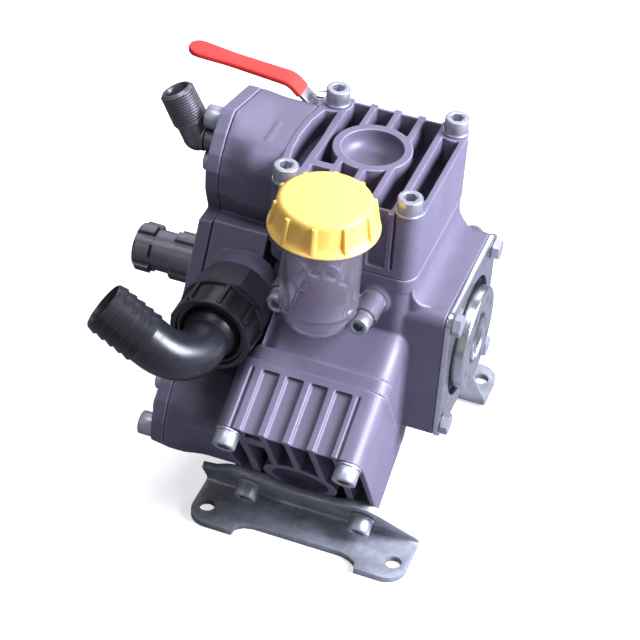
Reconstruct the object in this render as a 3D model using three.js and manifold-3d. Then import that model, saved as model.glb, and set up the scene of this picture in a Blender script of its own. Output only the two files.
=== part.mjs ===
// Three-diaphragm pressure pump, driven by a splined shaft, built in millimetres with +Z up.
// While it is drawn, X is the shaft axis and the three pump heads stand round it as a star. At the end
// the whole pump is moved, so that its feet stand on Z = 0 with the middle of its box over the origin.
import * as THREE from 'three';
import { mergeVertices } from 'three/addons/utils/BufferGeometryUtils.js';
import Module from 'manifold-3d';

const wasm = await Module();
wasm.setup();

// ---------- driving dimensions ----------
const GAP = 0.3; // between faces that touch
const HEAD_ANGLES = { top: 0, front: 120, rear: -120 }; // degrees about X
const DECK = 74; // shaft axis to the joint between crankcase and head
const HEAD_TOP = 122.9; // shaft axis to the head's outer face
const HEAD_X = [-51, 50];
const HEAD_V = [-54.5, 57]; // across the head, square to the shaft
const BOLT_X = 40.8;
const BOLT_V = 47.9;
const RIB_PITCH = 16.5;
const FIRST_SLOT_X = -25.75;
const SLOT_WIDTH = 11.8;
const SLOT_DEPTH = 27;
const POCKET = { x: -2.8, r: 20.3, ring: 26, depth: 14 };
const POCKET_V = { top: 9.1, front: -24, rear: -24 };

const FLANGE_HALF = 52; // square motor flange
const FLANGE_END = 73;
const FLANGE_BOLT = [43.8, 42];
const HUB = { r: 35.5, x0: 58, x1: 84.1 };
const SHAFT_R = 17.45; // 1 3/8 inch, six splines
const SHAFT_END = -162;
const THROW = 6; // eccentricity of the crank

const PARTING = -93.5; // joint between manifold body and cover
const COVER_FACE = -103;
const ARM_RIGHT = -51.3;
const ARM_TOP = 122.5;
const ARM_V = { top: [-31.5, 42], front: [-42, 31.5], rear: [-31.5, 42] };
const VALVE_ARM_V = 50; // end of the boss that takes the ball valve
const FACET = 63; // flats between the arms, from the shaft axis
const PORT_W = 104.3; // outlet port in each arm, between its two screws
const PORT_SCREW = 16.7;
const SCREW_BOSS_END = -78.5;

const INLET = { x: -65.7, z: 33, boss: 25.5, bossEnd: -67.8, nutRear: -84, nutFront: -107.2 };
const BARB = { y: -144, tilt: 31.8, tube: 16, length: 66, bend: 27 };
const CUP = { x: -2.2, y: -83, r: 25, bottom: 45, rim: 136, lugX: 27.65, lugZ: 54.3, lugFace: -56, portZ: 62 };
const CAP = { z0: 123.3, z1: 144.5 };
const VALVE = { x: -62, y: 76, z: 82, stem: 98 };
const FOOT = { thick: 4.6, floor: -127.8, x: [-76, 79], holeX: [-66, 69], holeY: 101.5 };

// ---------- geometry helpers ----------
const ALONG_X = new THREE.Matrix4().makeBasis(
  new THREE.Vector3(0, 1, 0), new THREE.Vector3(0, 0, 1), new THREE.Vector3(1, 0, 0));
const ALONG_Y = new THREE.Matrix4().makeBasis(
  new THREE.Vector3(0, 0, 1), new THREE.Vector3(1, 0, 0), new THREE.Vector3(0, 1, 0));
const radians = THREE.MathUtils.degToRad;

function solid(geometry) {
  const bare = geometry.clone();
  bare.deleteAttribute('normal');
  bare.deleteAttribute('uv');
  const merged = mergeVertices(bare, 1e-4);
  return new wasm.Manifold(new wasm.Mesh({
    numProp: 3,
    vertProperties: new Float32Array(merged.attributes.position.array),
    triVerts: new Uint32Array(merged.index.array),
  }));
}

function geometryOf(body) {
  const mesh = body.getMesh();
  const geometry = new THREE.BufferGeometry();
  geometry.setAttribute('position', new THREE.BufferAttribute(mesh.vertProperties, 3));
  geometry.setIndex(new THREE.BufferAttribute(mesh.triVerts, 1));
  geometry.computeVertexNormals();
  return geometry;
}

const join = (...bodies) => bodies.reduce((sum, body) => sum.add(body));
const cut = (body, ...tools) => tools.reduce((rest, tool) => rest.subtract(tool), body);

// A rectangle with rounded corners, as an outline.
function roundedRect(x0, y0, x1, y1, r) {
  const shape = new THREE.Shape();
  shape.absarc(x1 - r, y0 + r, r, -Math.PI / 2, 0);
  shape.absarc(x1 - r, y1 - r, r, 0, Math.PI / 2);
  shape.absarc(x0 + r, y1 - r, r, Math.PI / 2, Math.PI);
  shape.absarc(x0 + r, y0 + r, r, Math.PI, Math.PI * 1.5);
  return shape;
}

const polygon = (points) => new THREE.Shape(points.map(([x, y]) => new THREE.Vector2(x, y)));

function regular(sides, flats, turn = 0) {
  const r = flats / 2 / Math.cos(Math.PI / sides);
  return polygon(Array.from({ length: sides }, (_, i) => {
    const a = turn + (i + 0.5) * 2 * Math.PI / sides;
    return [r * Math.cos(a), r * Math.sin(a)];
  }));
}

// Prisms of an outline: along Z from an (x, y) outline, along X from (y, z), along Y from (z, x).
function prism(shape, from, to, basis = null, segments = 2) {
  const geometry = new THREE.ExtrudeGeometry(shape, {
    depth: to - from, bevelEnabled: false, curveSegments: segments });
  geometry.translate(0, 0, from);
  if (basis) geometry.applyMatrix4(basis);
  return geometry;
}
const prismZ = (shape, from, to, segments) => solid(prism(shape, from, to, null, segments));
const prismX = (shape, from, to, segments) => solid(prism(shape, from, to, ALONG_X, segments));
const prismY = (shape, from, to, segments) => solid(prism(shape, from, to, ALONG_Y, segments));

function box(x0, y0, z0, x1, y1, z1) {
  const geometry = new THREE.BoxGeometry(x1 - x0, y1 - y0, z1 - z0);
  return solid(geometry.translate((x0 + x1) / 2, (y0 + y1) / 2, (z0 + z1) / 2));
}

// Turned bodies: a closed profile of [radius, height] pairs round Z, then laid along an axis.
function turned(profile, segments = 24, axis = 'z') {
  const points = profile.map(([r, h]) => new THREE.Vector2(r, h));
  if (THREE.ShapeUtils.area(points) < 0) points.reverse();
  const geometry = new THREE.LatheGeometry(points, segments);
  geometry.rotateX(Math.PI / 2);
  if (axis === 'x') geometry.rotateY(Math.PI / 2);
  if (axis === 'y') geometry.rotateX(-Math.PI / 2);
  return solid(geometry);
}
const rod = (r, from, to, axis = 'z', segments = 20) =>
  turned([[0, from], [r, from], [r, to], [0, to]], segments, axis);
const ring = (inner, outer, from, to, axis = 'z', segments = 24) =>
  turned([[inner, from], [outer, from], [outer, to], [inner, to], [inner, from]], segments, axis);

// ---------- assembly helpers ----------
const pump = new THREE.Group();
const CAST = [0x3d3a44, 0.55, 0.25];
const STEEL = [0xb9bcc4, 0.35, 0.9];
const DARK_STEEL = [0x55555a, 0.4, 0.85];
const BLACK = [0x0e0e10, 0.3, 0.0];
const RUBBER = [0x1a1a1a, 0.8, 0.0];

function add(name, geometry, [color, roughness, metalness], parent = pump) {
  const material = new THREE.MeshStandardMaterial({ color, roughness, metalness });
  const mesh = new THREE.Mesh(geometry, material);
  mesh.name = name;
  parent.add(mesh);
  return mesh;
}

// One group for each head station: its Z points outwards along that head's axis.
const stations = Object.fromEntries(Object.entries(HEAD_ANGLES).map(([name, angle]) => {
  const group = new THREE.Group();
  group.rotation.x = radians(angle);
  pump.add(group);
  return [name, group];
}));
const turnX = (body, angle) => body.rotate([angle, 0, 0]);
const everyHead = (body) => join(...Object.values(HEAD_ANGLES).map((angle) => turnX(body, angle)));

const BOLTS = [[-1, 1], [1, 1], [-1, -1], [1, -1]].map(([i, j]) => [i * BOLT_X, j * BOLT_V]);

// ---------- crankcase ----------
const BARREL_LEFT = -39.5;
const DECK_FLANGE = 64; // where the wider deck of each cylinder starts
const CAVITY = 47;
const BORE = 28;
const DIAPHRAGM_SEAT = 45.5;
const CHAMBER = 38; // hollow in the head over the diaphragm

function crankcase() {
  const barrel = prismZ(roundedRect(BARREL_LEFT, HEAD_V[0], HEAD_X[1] - 0.5, 54, 12), 20, DECK);
  const deck = prismZ(roundedRect(HEAD_X[0] + 0.1, HEAD_V[0], HEAD_X[1], 55.5, 10.5), DECK_FLANGE, DECK);
  const lugs = [27.65, -27.65].map((x) => rod(9.5, CUP.lugFace, -45, 'y', 12)
    .translate([CUP.x + x, 0, CUP.lugZ]));
  const shell = join(
    everyHead(join(barrel, deck)),
    rod(58, BARREL_LEFT, 46, 'x', 24),
    rod(39.4, -55, -30, 'x', 20),
    prismX(roundedRect(-FLANGE_HALF, -FLANGE_HALF, FLANGE_HALF, FLANGE_HALF, 9), 44, FLANGE_END),
    rod(11, CUP.lugFace, -45, 'y', 12).translate([CUP.x, 0, CUP.portZ]),
    ...lugs);
  const tools = [
    rod(30, -100, -81, 'y', 20).translate([INLET.x, 0, INLET.z]),
    rod(CAVITY, -34, 28, 'x', 16),
    rod(41, 20, 46, 'x', 16),
    rod(42, 46, FLANGE_END + 1, 'x', 20),
    rod(32, -50, -30, 'x', 14),
    rod(27, -56, -49, 'x', 14),
    everyHead(rod(BORE + 0.6, 20, DECK + 1, 'z', 16)),
    everyHead(rod(DIAPHRAGM_SEAT, 70, DECK + 1, 'z', 20)),
    rod(5, -60, -40, 'y', 10).translate([CUP.x, 0, CUP.portZ]),
  ];
  for (const x of [27.65, -27.65]) {
    tools.push(rod(5, -60, -49, 'y', 6).translate([CUP.x + x, 0, CUP.lugZ]));
  }
  for (const [x, v] of BOLTS) tools.push(everyHead(rod(6.1, 50, DECK + 1, 'z', 6).translate([x, v, 0])));
  for (const i of [-1, 1]) {
    for (const j of [-1, 1]) {
      tools.push(rod(5, 55, FLANGE_END + 1, 'x', 6)
        .translate([0, i * FLANGE_BOLT[0], j * FLANGE_BOLT[1]]));
    }
  }
  return geometryOf(cut(shell, ...tools));
}
add('crankcase', crankcase(), CAST);

// ---------- pump heads ----------
const slotX = (column) => FIRST_SLOT_X + RIB_PITCH * (column - 1);

// A tapered cooling slot, open at the outer face, from v0 to v1.
function slot(column, v0, v1) {
  const floor = HEAD_TOP - SLOT_DEPTH;
  const top = HEAD_TOP + 1;
  const half = SLOT_WIDTH / 2;
  const outline = polygon([[top, -half], [top, half], [floor, half - 1.8], [floor, 1.8 - half]]);
  return prismY(outline, v0, v1).translate([slotX(column), 0, 0]);
}

function head(pocketV) {
  const upper = pocketV > 0;
  const block = prismZ(roundedRect(HEAD_X[0], HEAD_V[0], HEAD_X[1], HEAD_V[1], 10.5), DECK + GAP, HEAD_TOP);
  const inner = [1, 2, 3, 4].map((column) => slot(column, -50, 52.5));
  const outer = [slot(0, -32, 39.5), slot(5, -32, 39.5)];
  const crossRib = upper ? [-25, -19] : [30, 42];
  const keep = join(
    rod(POCKET.ring, DECK, HEAD_TOP + 2, 'z', 20).translate([POCKET.x, pocketV, 0]),
    box(slotX(1) - 8, crossRib[0], DECK, slotX(1) + 8, crossRib[1], HEAD_TOP + 2),
    ...BOLTS.map(([x, v]) => rod(10.2, DECK, HEAD_TOP + 2, 'z', 8).translate([x, v, 0])));
  const slots = cut(join(...inner, ...outer), keep);
  const panels = [];
  for (let column = 1; column <= 4; column += 1) {
    const x = slotX(column);
    panels.push(box(x - 5.8, HEAD_V[1] - 1.8, DECK + 6, x + 5.8, HEAD_V[1] + 1, HEAD_TOP + 1));
    panels.push(box(x - 5.8, HEAD_V[0] - 1, DECK + 6, x + 5.8, HEAD_V[0] + 1.8, HEAD_TOP + 1));
  }
  const floor = HEAD_TOP - POCKET.depth;
  const pocket = turned([[0, floor], [13, floor], [18, floor + 2.2], [POCKET.r, floor + 7],
    [POCKET.r, HEAD_TOP + 1], [0, HEAD_TOP + 1]], 20).translate([POCKET.x, pocketV, 0]);
  const ports = [-13, 13].map((v) => rod(6, HEAD_X[0] - 1, -20, 'x', 8).translate([0, v, 83]));
  const holes = BOLTS.map(([x, v]) => rod(6.1, DECK - 1, HEAD_TOP + 1, 'z', 6).translate([x, v, 0]));
  return geometryOf(cut(block, slots, pocket, rod(CHAMBER, DECK, 90, 'z', 16),
    ...panels, ...ports, ...holes));
}
for (const name of Object.keys(stations)) {
  add(`head_${name}`, head(POCKET_V[name]), CAST, stations[name]);
}

// ---------- fasteners ----------
// Socket head screw standing on Z = 0 with its shank below, and a washer face under its head.
function socketScrew(size, length, grip = 0, washer = 1.5) {
  const seat = grip + washer;
  const headR = size * 0.82;
  const body = turned([[0, -length], [size / 2, -length], [size / 2, grip], [headR + 0.6, grip],
    [headR + 0.6, seat], [headR, seat + 0.1], [headR, seat + size], [0, seat + size]], 8);
  const socket = prismZ(regular(6, size * 0.8), seat + size * 0.45, seat + 2 + size);
  return geometryOf(cut(body, socket));
}

const headScrew = socketScrew(10, HEAD_TOP - 58);
const footScrew = socketScrew(10, HEAD_TOP - 58, FOOT.thick + GAP);
for (const [name, station] of Object.entries(stations)) {
  BOLTS.forEach(([x, v], i) => {
    const clampsFoot = name !== 'top' && (name === 'front' ? v < 0 : v > 0);
    const screw = add(`head_bolt_${name}_${i + 1}`, clampsFoot ? footScrew : headScrew, STEEL, station);
    screw.position.set(x, v, HEAD_TOP + GAP);
  });
}

// ---------- motor flange and drive ----------
const PLATE = [FLANGE_END + GAP, 76.6];

function flangePlate() {
  const half = FLANGE_HALF + 0.3;
  const plate = prismX(roundedRect(-half, -half, half, half, 9), PLATE[0], PLATE[1]);
  const holes = [];
  for (const i of [-1, 1]) {
    for (const j of [-1, 1]) {
      holes.push(rod(4.8, 70, 80, 'x', 8).translate([0, i * FLANGE_BOLT[0], j * FLANGE_BOLT[1]]));
    }
  }
  return geometryOf(cut(plate, rod(41.5, 70, 80, 'x', 28), ...holes));
}
add('flange_plate', flangePlate(), [0xd8d9dc, 0.3, 0.9]);

const flangeBolt = geometryOf(join(
  prismX(regular(6, 13), PLATE[1] + GAP, PLATE[1] + GAP + 5), rod(4, 58, PLATE[1] + 2, 'x', 6)));
let boltNumber = 0;
for (const i of [-1, 1]) {
  for (const j of [-1, 1]) {
    boltNumber += 1;
    add(`flange_bolt_${boltNumber}`, flangeBolt, STEEL)
      .position.set(0, i * FLANGE_BOLT[0], j * FLANGE_BOLT[1]);
  }
}

function driveHub() {
  const body = turned([[17.8, HUB.x0], [30, HUB.x0], [HUB.r, HUB.x0 + 4], [HUB.r, HUB.x1 - 1],
    [HUB.r - 1, HUB.x1], [17.8, HUB.x1], [17.8, HUB.x0]], 24, 'x');
  const holes = [];
  for (let i = 0; i < 4; i += 1) {
    for (const side of [-1, 1]) {
      const a = radians(45 + 90 * i + side * 16);
      holes.push(rod(2.6, HUB.x1 - 12, HUB.x1 + 1, 'x', 5)
        .translate([0, 27 * Math.cos(a), 27 * Math.sin(a)]));
    }
  }
  return geometryOf(cut(body, ...holes, box(70, -4, 15, HUB.x1 + 1, 4, 22)));
}
add('drive_hub', driveHub(), [0xd8d9dc, 0.3, 0.9]);

function crankshaft() {
  const spline = new THREE.Shape();
  const half = radians(15);
  for (let i = 0; i < 6; i += 1) {
    const a = radians(60 * i + 30);
    spline.absarc(0, 0, SHAFT_R, a - half, a + half);
    spline.absarc(0, 0, 14.7, a + half + 0.04, a + radians(60) - half - 0.04);
  }
  const groove = ring(14.4, 20, -148.5, -134.5, 'x', 16);
  const splined = cut(prismX(spline, SHAFT_END, -86, 1), groove);
  const journal = turned([[0, -87], [17.2, -87], [17.2, -36], [21, -36], [21, -16], [0, -16]], 16, 'x');
  const eccentric = rod(24, -16, 16, 'x', 18).translate([0, 0, -THROW]);
  const drive = turned([[0, 16], [21, 16], [21, 29], [19.7, 29], [19.7, 45], [17.4, 45], [17.4, 79],
    [16, 80], [0, 80]], 16, 'x');
  return geometryOf(join(splined, journal, eccentric, drive));
}
add('crankshaft', crankshaft(), DARK_STEEL);
add('eccentric_bearing', geometryOf(ring(24.8, 34, -14, 14, 'x', 18).translate([0, 0, -THROW])), STEEL);
add('main_bearing_rear', geometryOf(ring(17.9, 31, -49, -37, 'x', 16)), STEEL);
add('main_bearing_front', geometryOf(ring(20.5, 40, 30, 45, 'x', 16)), STEEL);
add('shaft_seal_rear', geometryOf(ring(17.9, 26, -54.7, -49.4, 'x', 16)), RUBBER);
add('shaft_seal_front', geometryOf(ring(18.1, 41.2, 46.4, 54, 'x', 18)), RUBBER);

// ---------- pistons and diaphragms ----------
const PISTON_FOOT = 34 + THROW + 0.6;
const piston = geometryOf(turned([[0, PISTON_FOOT], [16, PISTON_FOOT], [27.7, PISTON_FOOT + 3],
  [27.7, PISTON_FOOT + 15], [12, PISTON_FOOT + 17], [12, 67], [21, 68], [21, 72], [0, 72]], 16));
const diaphragm = geometryOf(turned([[22, 71], [30, 71], [34, 72.6], [38, 71], [44.8, 70.4],
  [44.8, 74], [38, 74], [34, 75.4], [30, 73.6], [22, 73.6], [22, 71]], 16));
for (const [name, station] of Object.entries(stations)) {
  add(`piston_${name}`, piston, STEEL, station);
  add(`diaphragm_${name}`, diaphragm, RUBBER, station).position.z = 0.1;
}

// ---------- manifold on the spline side ----------
const CENTRE_W = 66;

// The star's centre: flats between the arms, cut square across under each arm.
function starCentre(flat, from, to) {
  let body = rod(90, from, to, 'x', 18);
  for (const angle of [60, 180, 300]) body = cut(body, turnX(box(-200, -99, flat, 0, 99, 200), angle));
  for (const angle of [0, 120, 240]) body = cut(body, turnX(box(-200, -99, CENTRE_W, 0, 99, 200), angle));
  return body;
}

function armOutline([v0, v1], top, neck = 22) {
  const shape = new THREE.Shape();
  shape.moveTo(-neck, 40);
  shape.lineTo(neck, 40);
  shape.lineTo(Math.min(neck, v1), 62);
  shape.lineTo(v1, 84);
  shape.lineTo(v1, top - 14);
  shape.absarc(v1 - 14, top - 14, 14, 0, Math.PI / 2);
  shape.lineTo(v0 + 16, top);
  shape.absarc(v0 + 16, top - 16, 16, Math.PI / 2, Math.PI);
  shape.lineTo(v0, 84);
  shape.lineTo(-neck, 62);
  return shape;
}

// Cover lobe: a narrow and a wide shoulder, with a pointed boss round the outer screw between them.
function lobeOutline() {
  const shape = new THREE.Shape();
  shape.moveTo(-21, 40);
  shape.lineTo(21, 40);
  shape.lineTo(22, 62);
  shape.lineTo(42, 84);
  shape.lineTo(49.5, 98);
  shape.absarc(43.5, 107, 6, 0, Math.PI * 0.36);
  shape.absarc(0, PORT_W + PORT_SCREW, 9.8, Math.PI * 0.4, Math.PI * 0.7);
  shape.lineTo(-23.5, 110);
  shape.lineTo(-28.3, 101);
  shape.lineTo(-28.3, 84);
  shape.lineTo(-21, 62);
  return shape;
}

const portDrill = (r, from, to) => everyHead(rod(r, from, to, 'x', 12).translate([0, 0, PORT_W]));
const portScrews = (r, from, to) => join(...[-1, 1].map((side) =>
  everyHead(rod(r, from, to, 'x', 6).translate([0, 0, PORT_W + side * PORT_SCREW]))));

function manifoldBody() {
  const arms = Object.entries(HEAD_ANGLES).map(([name, angle]) =>
    turnX(prismX(armOutline(ARM_V[name], ARM_TOP), PARTING, ARM_RIGHT, 3), angle));
  const screwBoss = rod(7.8, PARTING, SCREW_BOSS_END, 'x', 12).translate([0, 0, PORT_W + PORT_SCREW]);
  const shell = join(
    starCentre(FACET, PARTING, -55.3),
    ...arms,
    everyHead(screwBoss),
    prismX(armOutline([0, VALVE_ARM_V], 99), -75, ARM_RIGHT, 3),
    rod(INLET.boss, INLET.bossEnd, -44, 'y', 24).translate([INLET.x, 0, INLET.z]));
  const galleries = everyHead(join(
    rod(9, PARTING - 1, -60, 'x', 10).translate([0, 0, PORT_W]),
    rod(6, -70, ARM_RIGHT + 1, 'x', 8).translate([0, 13, 83]),
    rod(6, -70, ARM_RIGHT + 1, 'x', 8).translate([0, -13, 83]),
    rod(5, 60, PORT_W, 'z', 6).translate([-66, 13, 0])));
  return geometryOf(cut(shell, galleries,
    rod(19.5, -100, -50, 'x', 18),
    rod(20.3, INLET.bossEnd - 1, -38, 'y', 18).translate([INLET.x, 0, INLET.z]),
    rod(10.5, 20, VALVE_ARM_V + 1, 'y', 12).translate([VALVE.x, 0, VALVE.z]),
    portScrews(6.1, PARTING - 1, SCREW_BOSS_END - 0.3)));
}
add('manifold_body', manifoldBody(), CAST);

function manifoldCover() {
  const back = PARTING - GAP;
  const lobe = prismX(lobeOutline(), COVER_FACE, back, 3);
  const mirrored = lobe.mirror([0, 1, 0]);
  const shell = join(starCentre(FACET + 2, COVER_FACE, back), lobe, turnX(mirrored, HEAD_ANGLES.front),
    turnX(lobe, HEAD_ANGLES.rear), rod(30, COVER_FACE - 3, back, 'x', 20));
  return geometryOf(cut(shell, rod(19.5, -120, -90, 'x', 18),
    portDrill(9, -110, -90), portScrews(6.1, -110, -90)));
}
add('manifold_cover', manifoldCover(), CAST);

const coverScrew = socketScrew(10, 24, 0, 0.2);
for (const [name, station] of Object.entries(stations)) {
  [-1, 1].forEach((side, i) => {
    const screw = add(`cover_screw_${name}_${i + 1}`, coverScrew, STEEL, station);
    screw.position.set(COVER_FACE - GAP, 0, PORT_W + side * PORT_SCREW);
    screw.rotation.y = -Math.PI / 2;
  });
}

// ---------- ports on the cover ----------
// A tube along a path of points, with rounded turns, as an extruded ring or disc.
function tube(points, radius, steps, sides = 20) {
  const path = new THREE.CatmullRomCurve3(points.map((p) => new THREE.Vector3(...p)), false, 'centripetal');
  const outline = new THREE.Shape().absarc(0, 0, radius, 0, Math.PI * 2);
  return solid(new THREE.ExtrudeGeometry(outline, { steps, curveSegments: sides / 2, extrudePath: path }));
}

// Centre line of an elbow: along start, round a bend of the given radius, then along the new direction.
function elbowPath(start, corner, end, bend) {
  const a = new THREE.Vector3(...start);
  const c = new THREE.Vector3(...corner);
  const b = new THREE.Vector3(...end);
  const inward = a.clone().sub(c).normalize();
  const outward = b.clone().sub(c).normalize();
  const p = c.clone().addScaledVector(inward, bend);
  const q = c.clone().addScaledVector(outward, bend);
  const path = new THREE.CurvePath();
  path.add(new THREE.LineCurve3(a, p));
  path.add(new THREE.QuadraticBezierCurve3(p, c, q));
  path.add(new THREE.LineCurve3(q, b));
  return [a, ...path.curves[1].getPoints(6), b].map((v) => v.toArray());
}

const OUTLET = { x: -119.8, tilt: 62, length: 35, r: 9.6, thread: 10.5 };

// A cast street elbow: a ball at the corner, a spigot into the cover and a threaded tail.
function outletElbow() {
  const turn = (body) => body.rotate([0, 180 + OUTLET.tilt, 0]);
  const ball = (r) => solid(new THREE.SphereGeometry(r, 14, 10).rotateX(Math.PI / 2));
  const reach = COVER_FACE + 8 - OUTLET.x;
  const outer = join(ball(10.1), rod(7.6, 0, reach, 'x', 12),
    turn(rod(OUTLET.r, 0, 14, 'x', 14)), turn(rod(OUTLET.thread, 12, OUTLET.length, 'x', 14)));
  const inner = join(ball(6.9), rod(5.3, 0, reach + 1, 'x', 8),
    turn(rod(6.4, 0, OUTLET.length + 1, 'x', 12)));
  return geometryOf(cut(outer, inner).translate([OUTLET.x, 0, PORT_W]));
}
add('outlet_elbow', outletElbow(), DARK_STEEL);

const portPlug = geometryOf(join(prismX(regular(6, 13), COVER_FACE - 6, COVER_FACE - GAP),
  rod(7.6, COVER_FACE - 2, COVER_FACE + 8, 'x', 12)));
for (const name of ['front', 'rear']) {
  add(`port_plug_${name}`, portPlug, STEEL, stations[name]).position.z = PORT_W;
}

// ---------- suction inlet ----------
function inletAdapter() {
  const rear = INLET.bossEnd - GAP;
  const octagon = prismY(regular(8, 46, Math.PI / 8 + Math.PI / 2), INLET.nutRear + 1, rear);
  const spigot = rod(19.6, rear - 1, -45, 'y', 18);
  const thread = rod(21.6, -97, INLET.nutRear + 2, 'y', 20);
  return geometryOf(cut(join(octagon, spigot, thread), rod(15, -100, -40, 'y', 14))
    .translate([INLET.x, 0, INLET.z]));
}
add('inlet_adapter', inletAdapter(), BLACK);

function unionNut() {
  const shell = turned([[22, INLET.nutRear], [28.5, INLET.nutRear], [28.5, INLET.nutRear - 3],
    [26.4, INLET.nutRear - 3], [25.6, -103.5], [27, -104.5], [27, INLET.nutFront],
    [20.5, INLET.nutFront], [20.5, -103], [22, -102.8], [22, INLET.nutRear]], 24, 'y');
  const ribs = [];
  for (let i = 0; i < 8; i += 1) {
    const rib = box(-1.3, -105, 25, 1.3, INLET.nutRear - 1, 28);
    ribs.push(rib.rotate([0, 45 * i + 10, 0]));
  }
  return geometryOf(join(shell, ...ribs).translate([INLET.x, 0, INLET.z]));
}
add('union_nut', unionNut(), BLACK);

function inletElbow() {
  const tilt = radians(BARB.tilt);
  const corner = [INLET.x, BARB.y, INLET.z];
  const at = (d) => [INLET.x - d * Math.cos(tilt), BARB.y, INLET.z + d * Math.sin(tilt)];
  const straight = (body) => body.rotate([0, 180 + BARB.tilt, 0]).translate(corner);
  const profile = [[0, BARB.bend - 1], [BARB.tube + 0.1, BARB.bend - 1]];
  for (let i = 5; i > 0; i -= 1) {
    const ridge = BARB.length + 3.6 - i * 6.6;
    profile.push([BARB.tube + 0.1, ridge - 6], [17.3, ridge - 6], [BARB.tube + 0.1, ridge - 0.4]);
  }
  profile.push([BARB.tube + 0.1, BARB.length], [0, BARB.length]);
  const outer = tube(elbowPath([INLET.x, -97.6, INLET.z], corner, at(BARB.bend), BARB.bend - 0.5),
    BARB.tube, 9, 20);
  const inner = tube(elbowPath([INLET.x, -90, INLET.z], corner, at(BARB.bend + 1), BARB.bend - 0.5), 13, 9, 14);
  const collar = rod(21.3, -102.5, -97.6, 'y', 24).translate([INLET.x, 0, INLET.z]);
  return geometryOf(cut(join(outer, collar, straight(turned(profile, 16, 'x'))),
    inner, straight(rod(13.1, BARB.bend, BARB.length + 5, 'x', 14))));
}
add('inlet_elbow', inletElbow(), BLACK);

// ---------- oil cup ----------
function oilCup() {
  const { r, bottom, rim } = CUP;
  const wall = 2.6;
  const outer = turned([[0, bottom], [11, bottom], [18, bottom + 1.9], [23.1, bottom + 7],
    [r, bottom + 14], [r, rim], [0, rim]], 20);
  const inner = turned([[0, bottom + wall], [11, bottom + wall], [16.5, bottom + 4],
    [20.8, bottom + 8.2], [r - wall, bottom + 14.5], [r - wall, rim + 1], [0, rim + 1]], 20);
  const lugs = [-1, 1].map((side) => rod(8, -CUP.y - 76, -CUP.y + CUP.lugFace - GAP, 'y', 12)
    .translate([side * CUP.lugX, 0, CUP.lugZ]));
  const webs = box(-CUP.lugX, -CUP.y - 70, CUP.lugZ - 3, CUP.lugX, -CUP.y + CUP.lugFace - GAP, CUP.lugZ + 3);
  const spout = rod(9, 10, -CUP.y + CUP.lugFace - GAP, 'y', 12).translate([0, 0, CUP.portZ]);
  const pockets = [-1, 1].map((side) => rod(7.6, -CUP.y - 95, -CUP.y - 76, 'y', 10)
    .translate([side * CUP.lugX, 0, CUP.lugZ]));
  const sleeves = [-1, 1].map((side) => rod(9.6, -CUP.y - 95, -CUP.y - 50, 'y', 10)
    .translate([side * CUP.lugX, 0, CUP.lugZ]));
  const holes = [-1, 1].map((side) => rod(4.8, -CUP.y - 90, -CUP.y - 50, 'y', 6)
    .translate([side * CUP.lugX, 0, CUP.lugZ]));
  const cavity = cut(inner, ...sleeves);
  const body = cut(join(outer, ...lugs, webs, spout), cavity, ...pockets, ...holes,
    rod(5, 0, 40, 'y', 8).translate([0, 0, CUP.portZ]));
  return geometryOf(body.translate([CUP.x, CUP.y, 0]));
}
add('oil_cup', oilCup(), [0xdfe6ea, 0.1, 0.0]);

function oilCap() {
  const skirt = turned([[0, 141], [25.7, 141], [25.7, CAP.z0], [34.9, CAP.z0], [34.9, CAP.z0 + 1.5],
    [32.5, CAP.z0 + 4], [29.5, 142], [28.3, CAP.z1], [0, CAP.z1]], 20);
  const grips = [];
  for (let i = 0; i < 10; i += 1) {
    const a = radians(36 * i - 82);
    const grip = box(24, -1.6, CAP.z0 + 1, 33.4, 1.6, CAP.z1 - 2).rotate([0, 0, THREE.MathUtils.radToDeg(a)]);
    grips.push(grip);
  }
  const bore = rod(25.7, 110, 141, 'z', 20);
  return geometryOf(cut(join(skirt, ...grips), bore).translate([CUP.x, CUP.y, 0]));
}
add('oil_cap', oilCap(), [0xf5c318, 0.4, 0.0]);

const cupScrew = socketScrew(8, 24);
[-1, 1].forEach((side, i) => {
  const screw = add(`cup_screw_${i + 1}`, cupScrew, STEEL);
  screw.position.set(CUP.x + side * CUP.lugX, -76 - GAP, CUP.lugZ);
  screw.rotation.x = Math.PI / 2;
});

// ---------- ball valve ----------
function valveBody() {
  const spigot = rod(9.8, VALVE_ARM_V - 12, 59, 'y', 12);
  const body = turned([[0, 58.5], [13, 58.5], [16, 66.5], [16, 87], [10.4, 94], [10.4, 108], [0, 108]], 14, 'y');
  const hexes = join(prismY(regular(6, 27), 58.5, 66.5), prismY(regular(6, 27), 87, 95));
  const neck = rod(7.5, 0, VALVE.stem - VALVE.z - GAP, 'z', 14).translate([0, VALVE.y, 0]);
  const seat = solid(new THREE.SphereGeometry(12.6, 12, 8)).translate([0, VALVE.y, 0]);
  const stem = rod(4.6, 0, 25, 'z', 10).translate([0, VALVE.y, 0]);
  return geometryOf(cut(join(body, hexes, spigot, neck), rod(7, 30, 120, 'y', 10), seat, stem)
    .translate([VALVE.x, 0, VALVE.z]));
}
add('valve_body', valveBody(), STEEL);

function valveBall() {
  const ball = solid(new THREE.SphereGeometry(11.6, 12, 8));
  const stem = rod(4, 8, VALVE.stem + 9.5 - VALVE.z, 'z', 12);
  return geometryOf(cut(join(ball, stem), rod(7, -20, 20, 'x', 10)));
}
add('valve_ball', valveBall(), [0xc8cad0, 0.15, 1.0]).position.set(VALVE.x, VALVE.y, VALVE.z);

// The lever runs towards -X: a flat at the stem, a raised step, then the long handle.
const LEVER = { thick: 2.4, path: [[8, 0], [-6.2, 0], [-22, 15], [-95.5, 23.7]] };
const leverAt = [VALVE.x, VALVE.y, VALVE.stem];

function strip(points, thickness, y0, y1) {
  const upper = points.map(([x, z]) => [z + thickness, x]);
  const lower = points.map(([x, z]) => [z, x]).reverse();
  return prismY(polygon([...upper, ...lower]), y0, y1);
}

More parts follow.
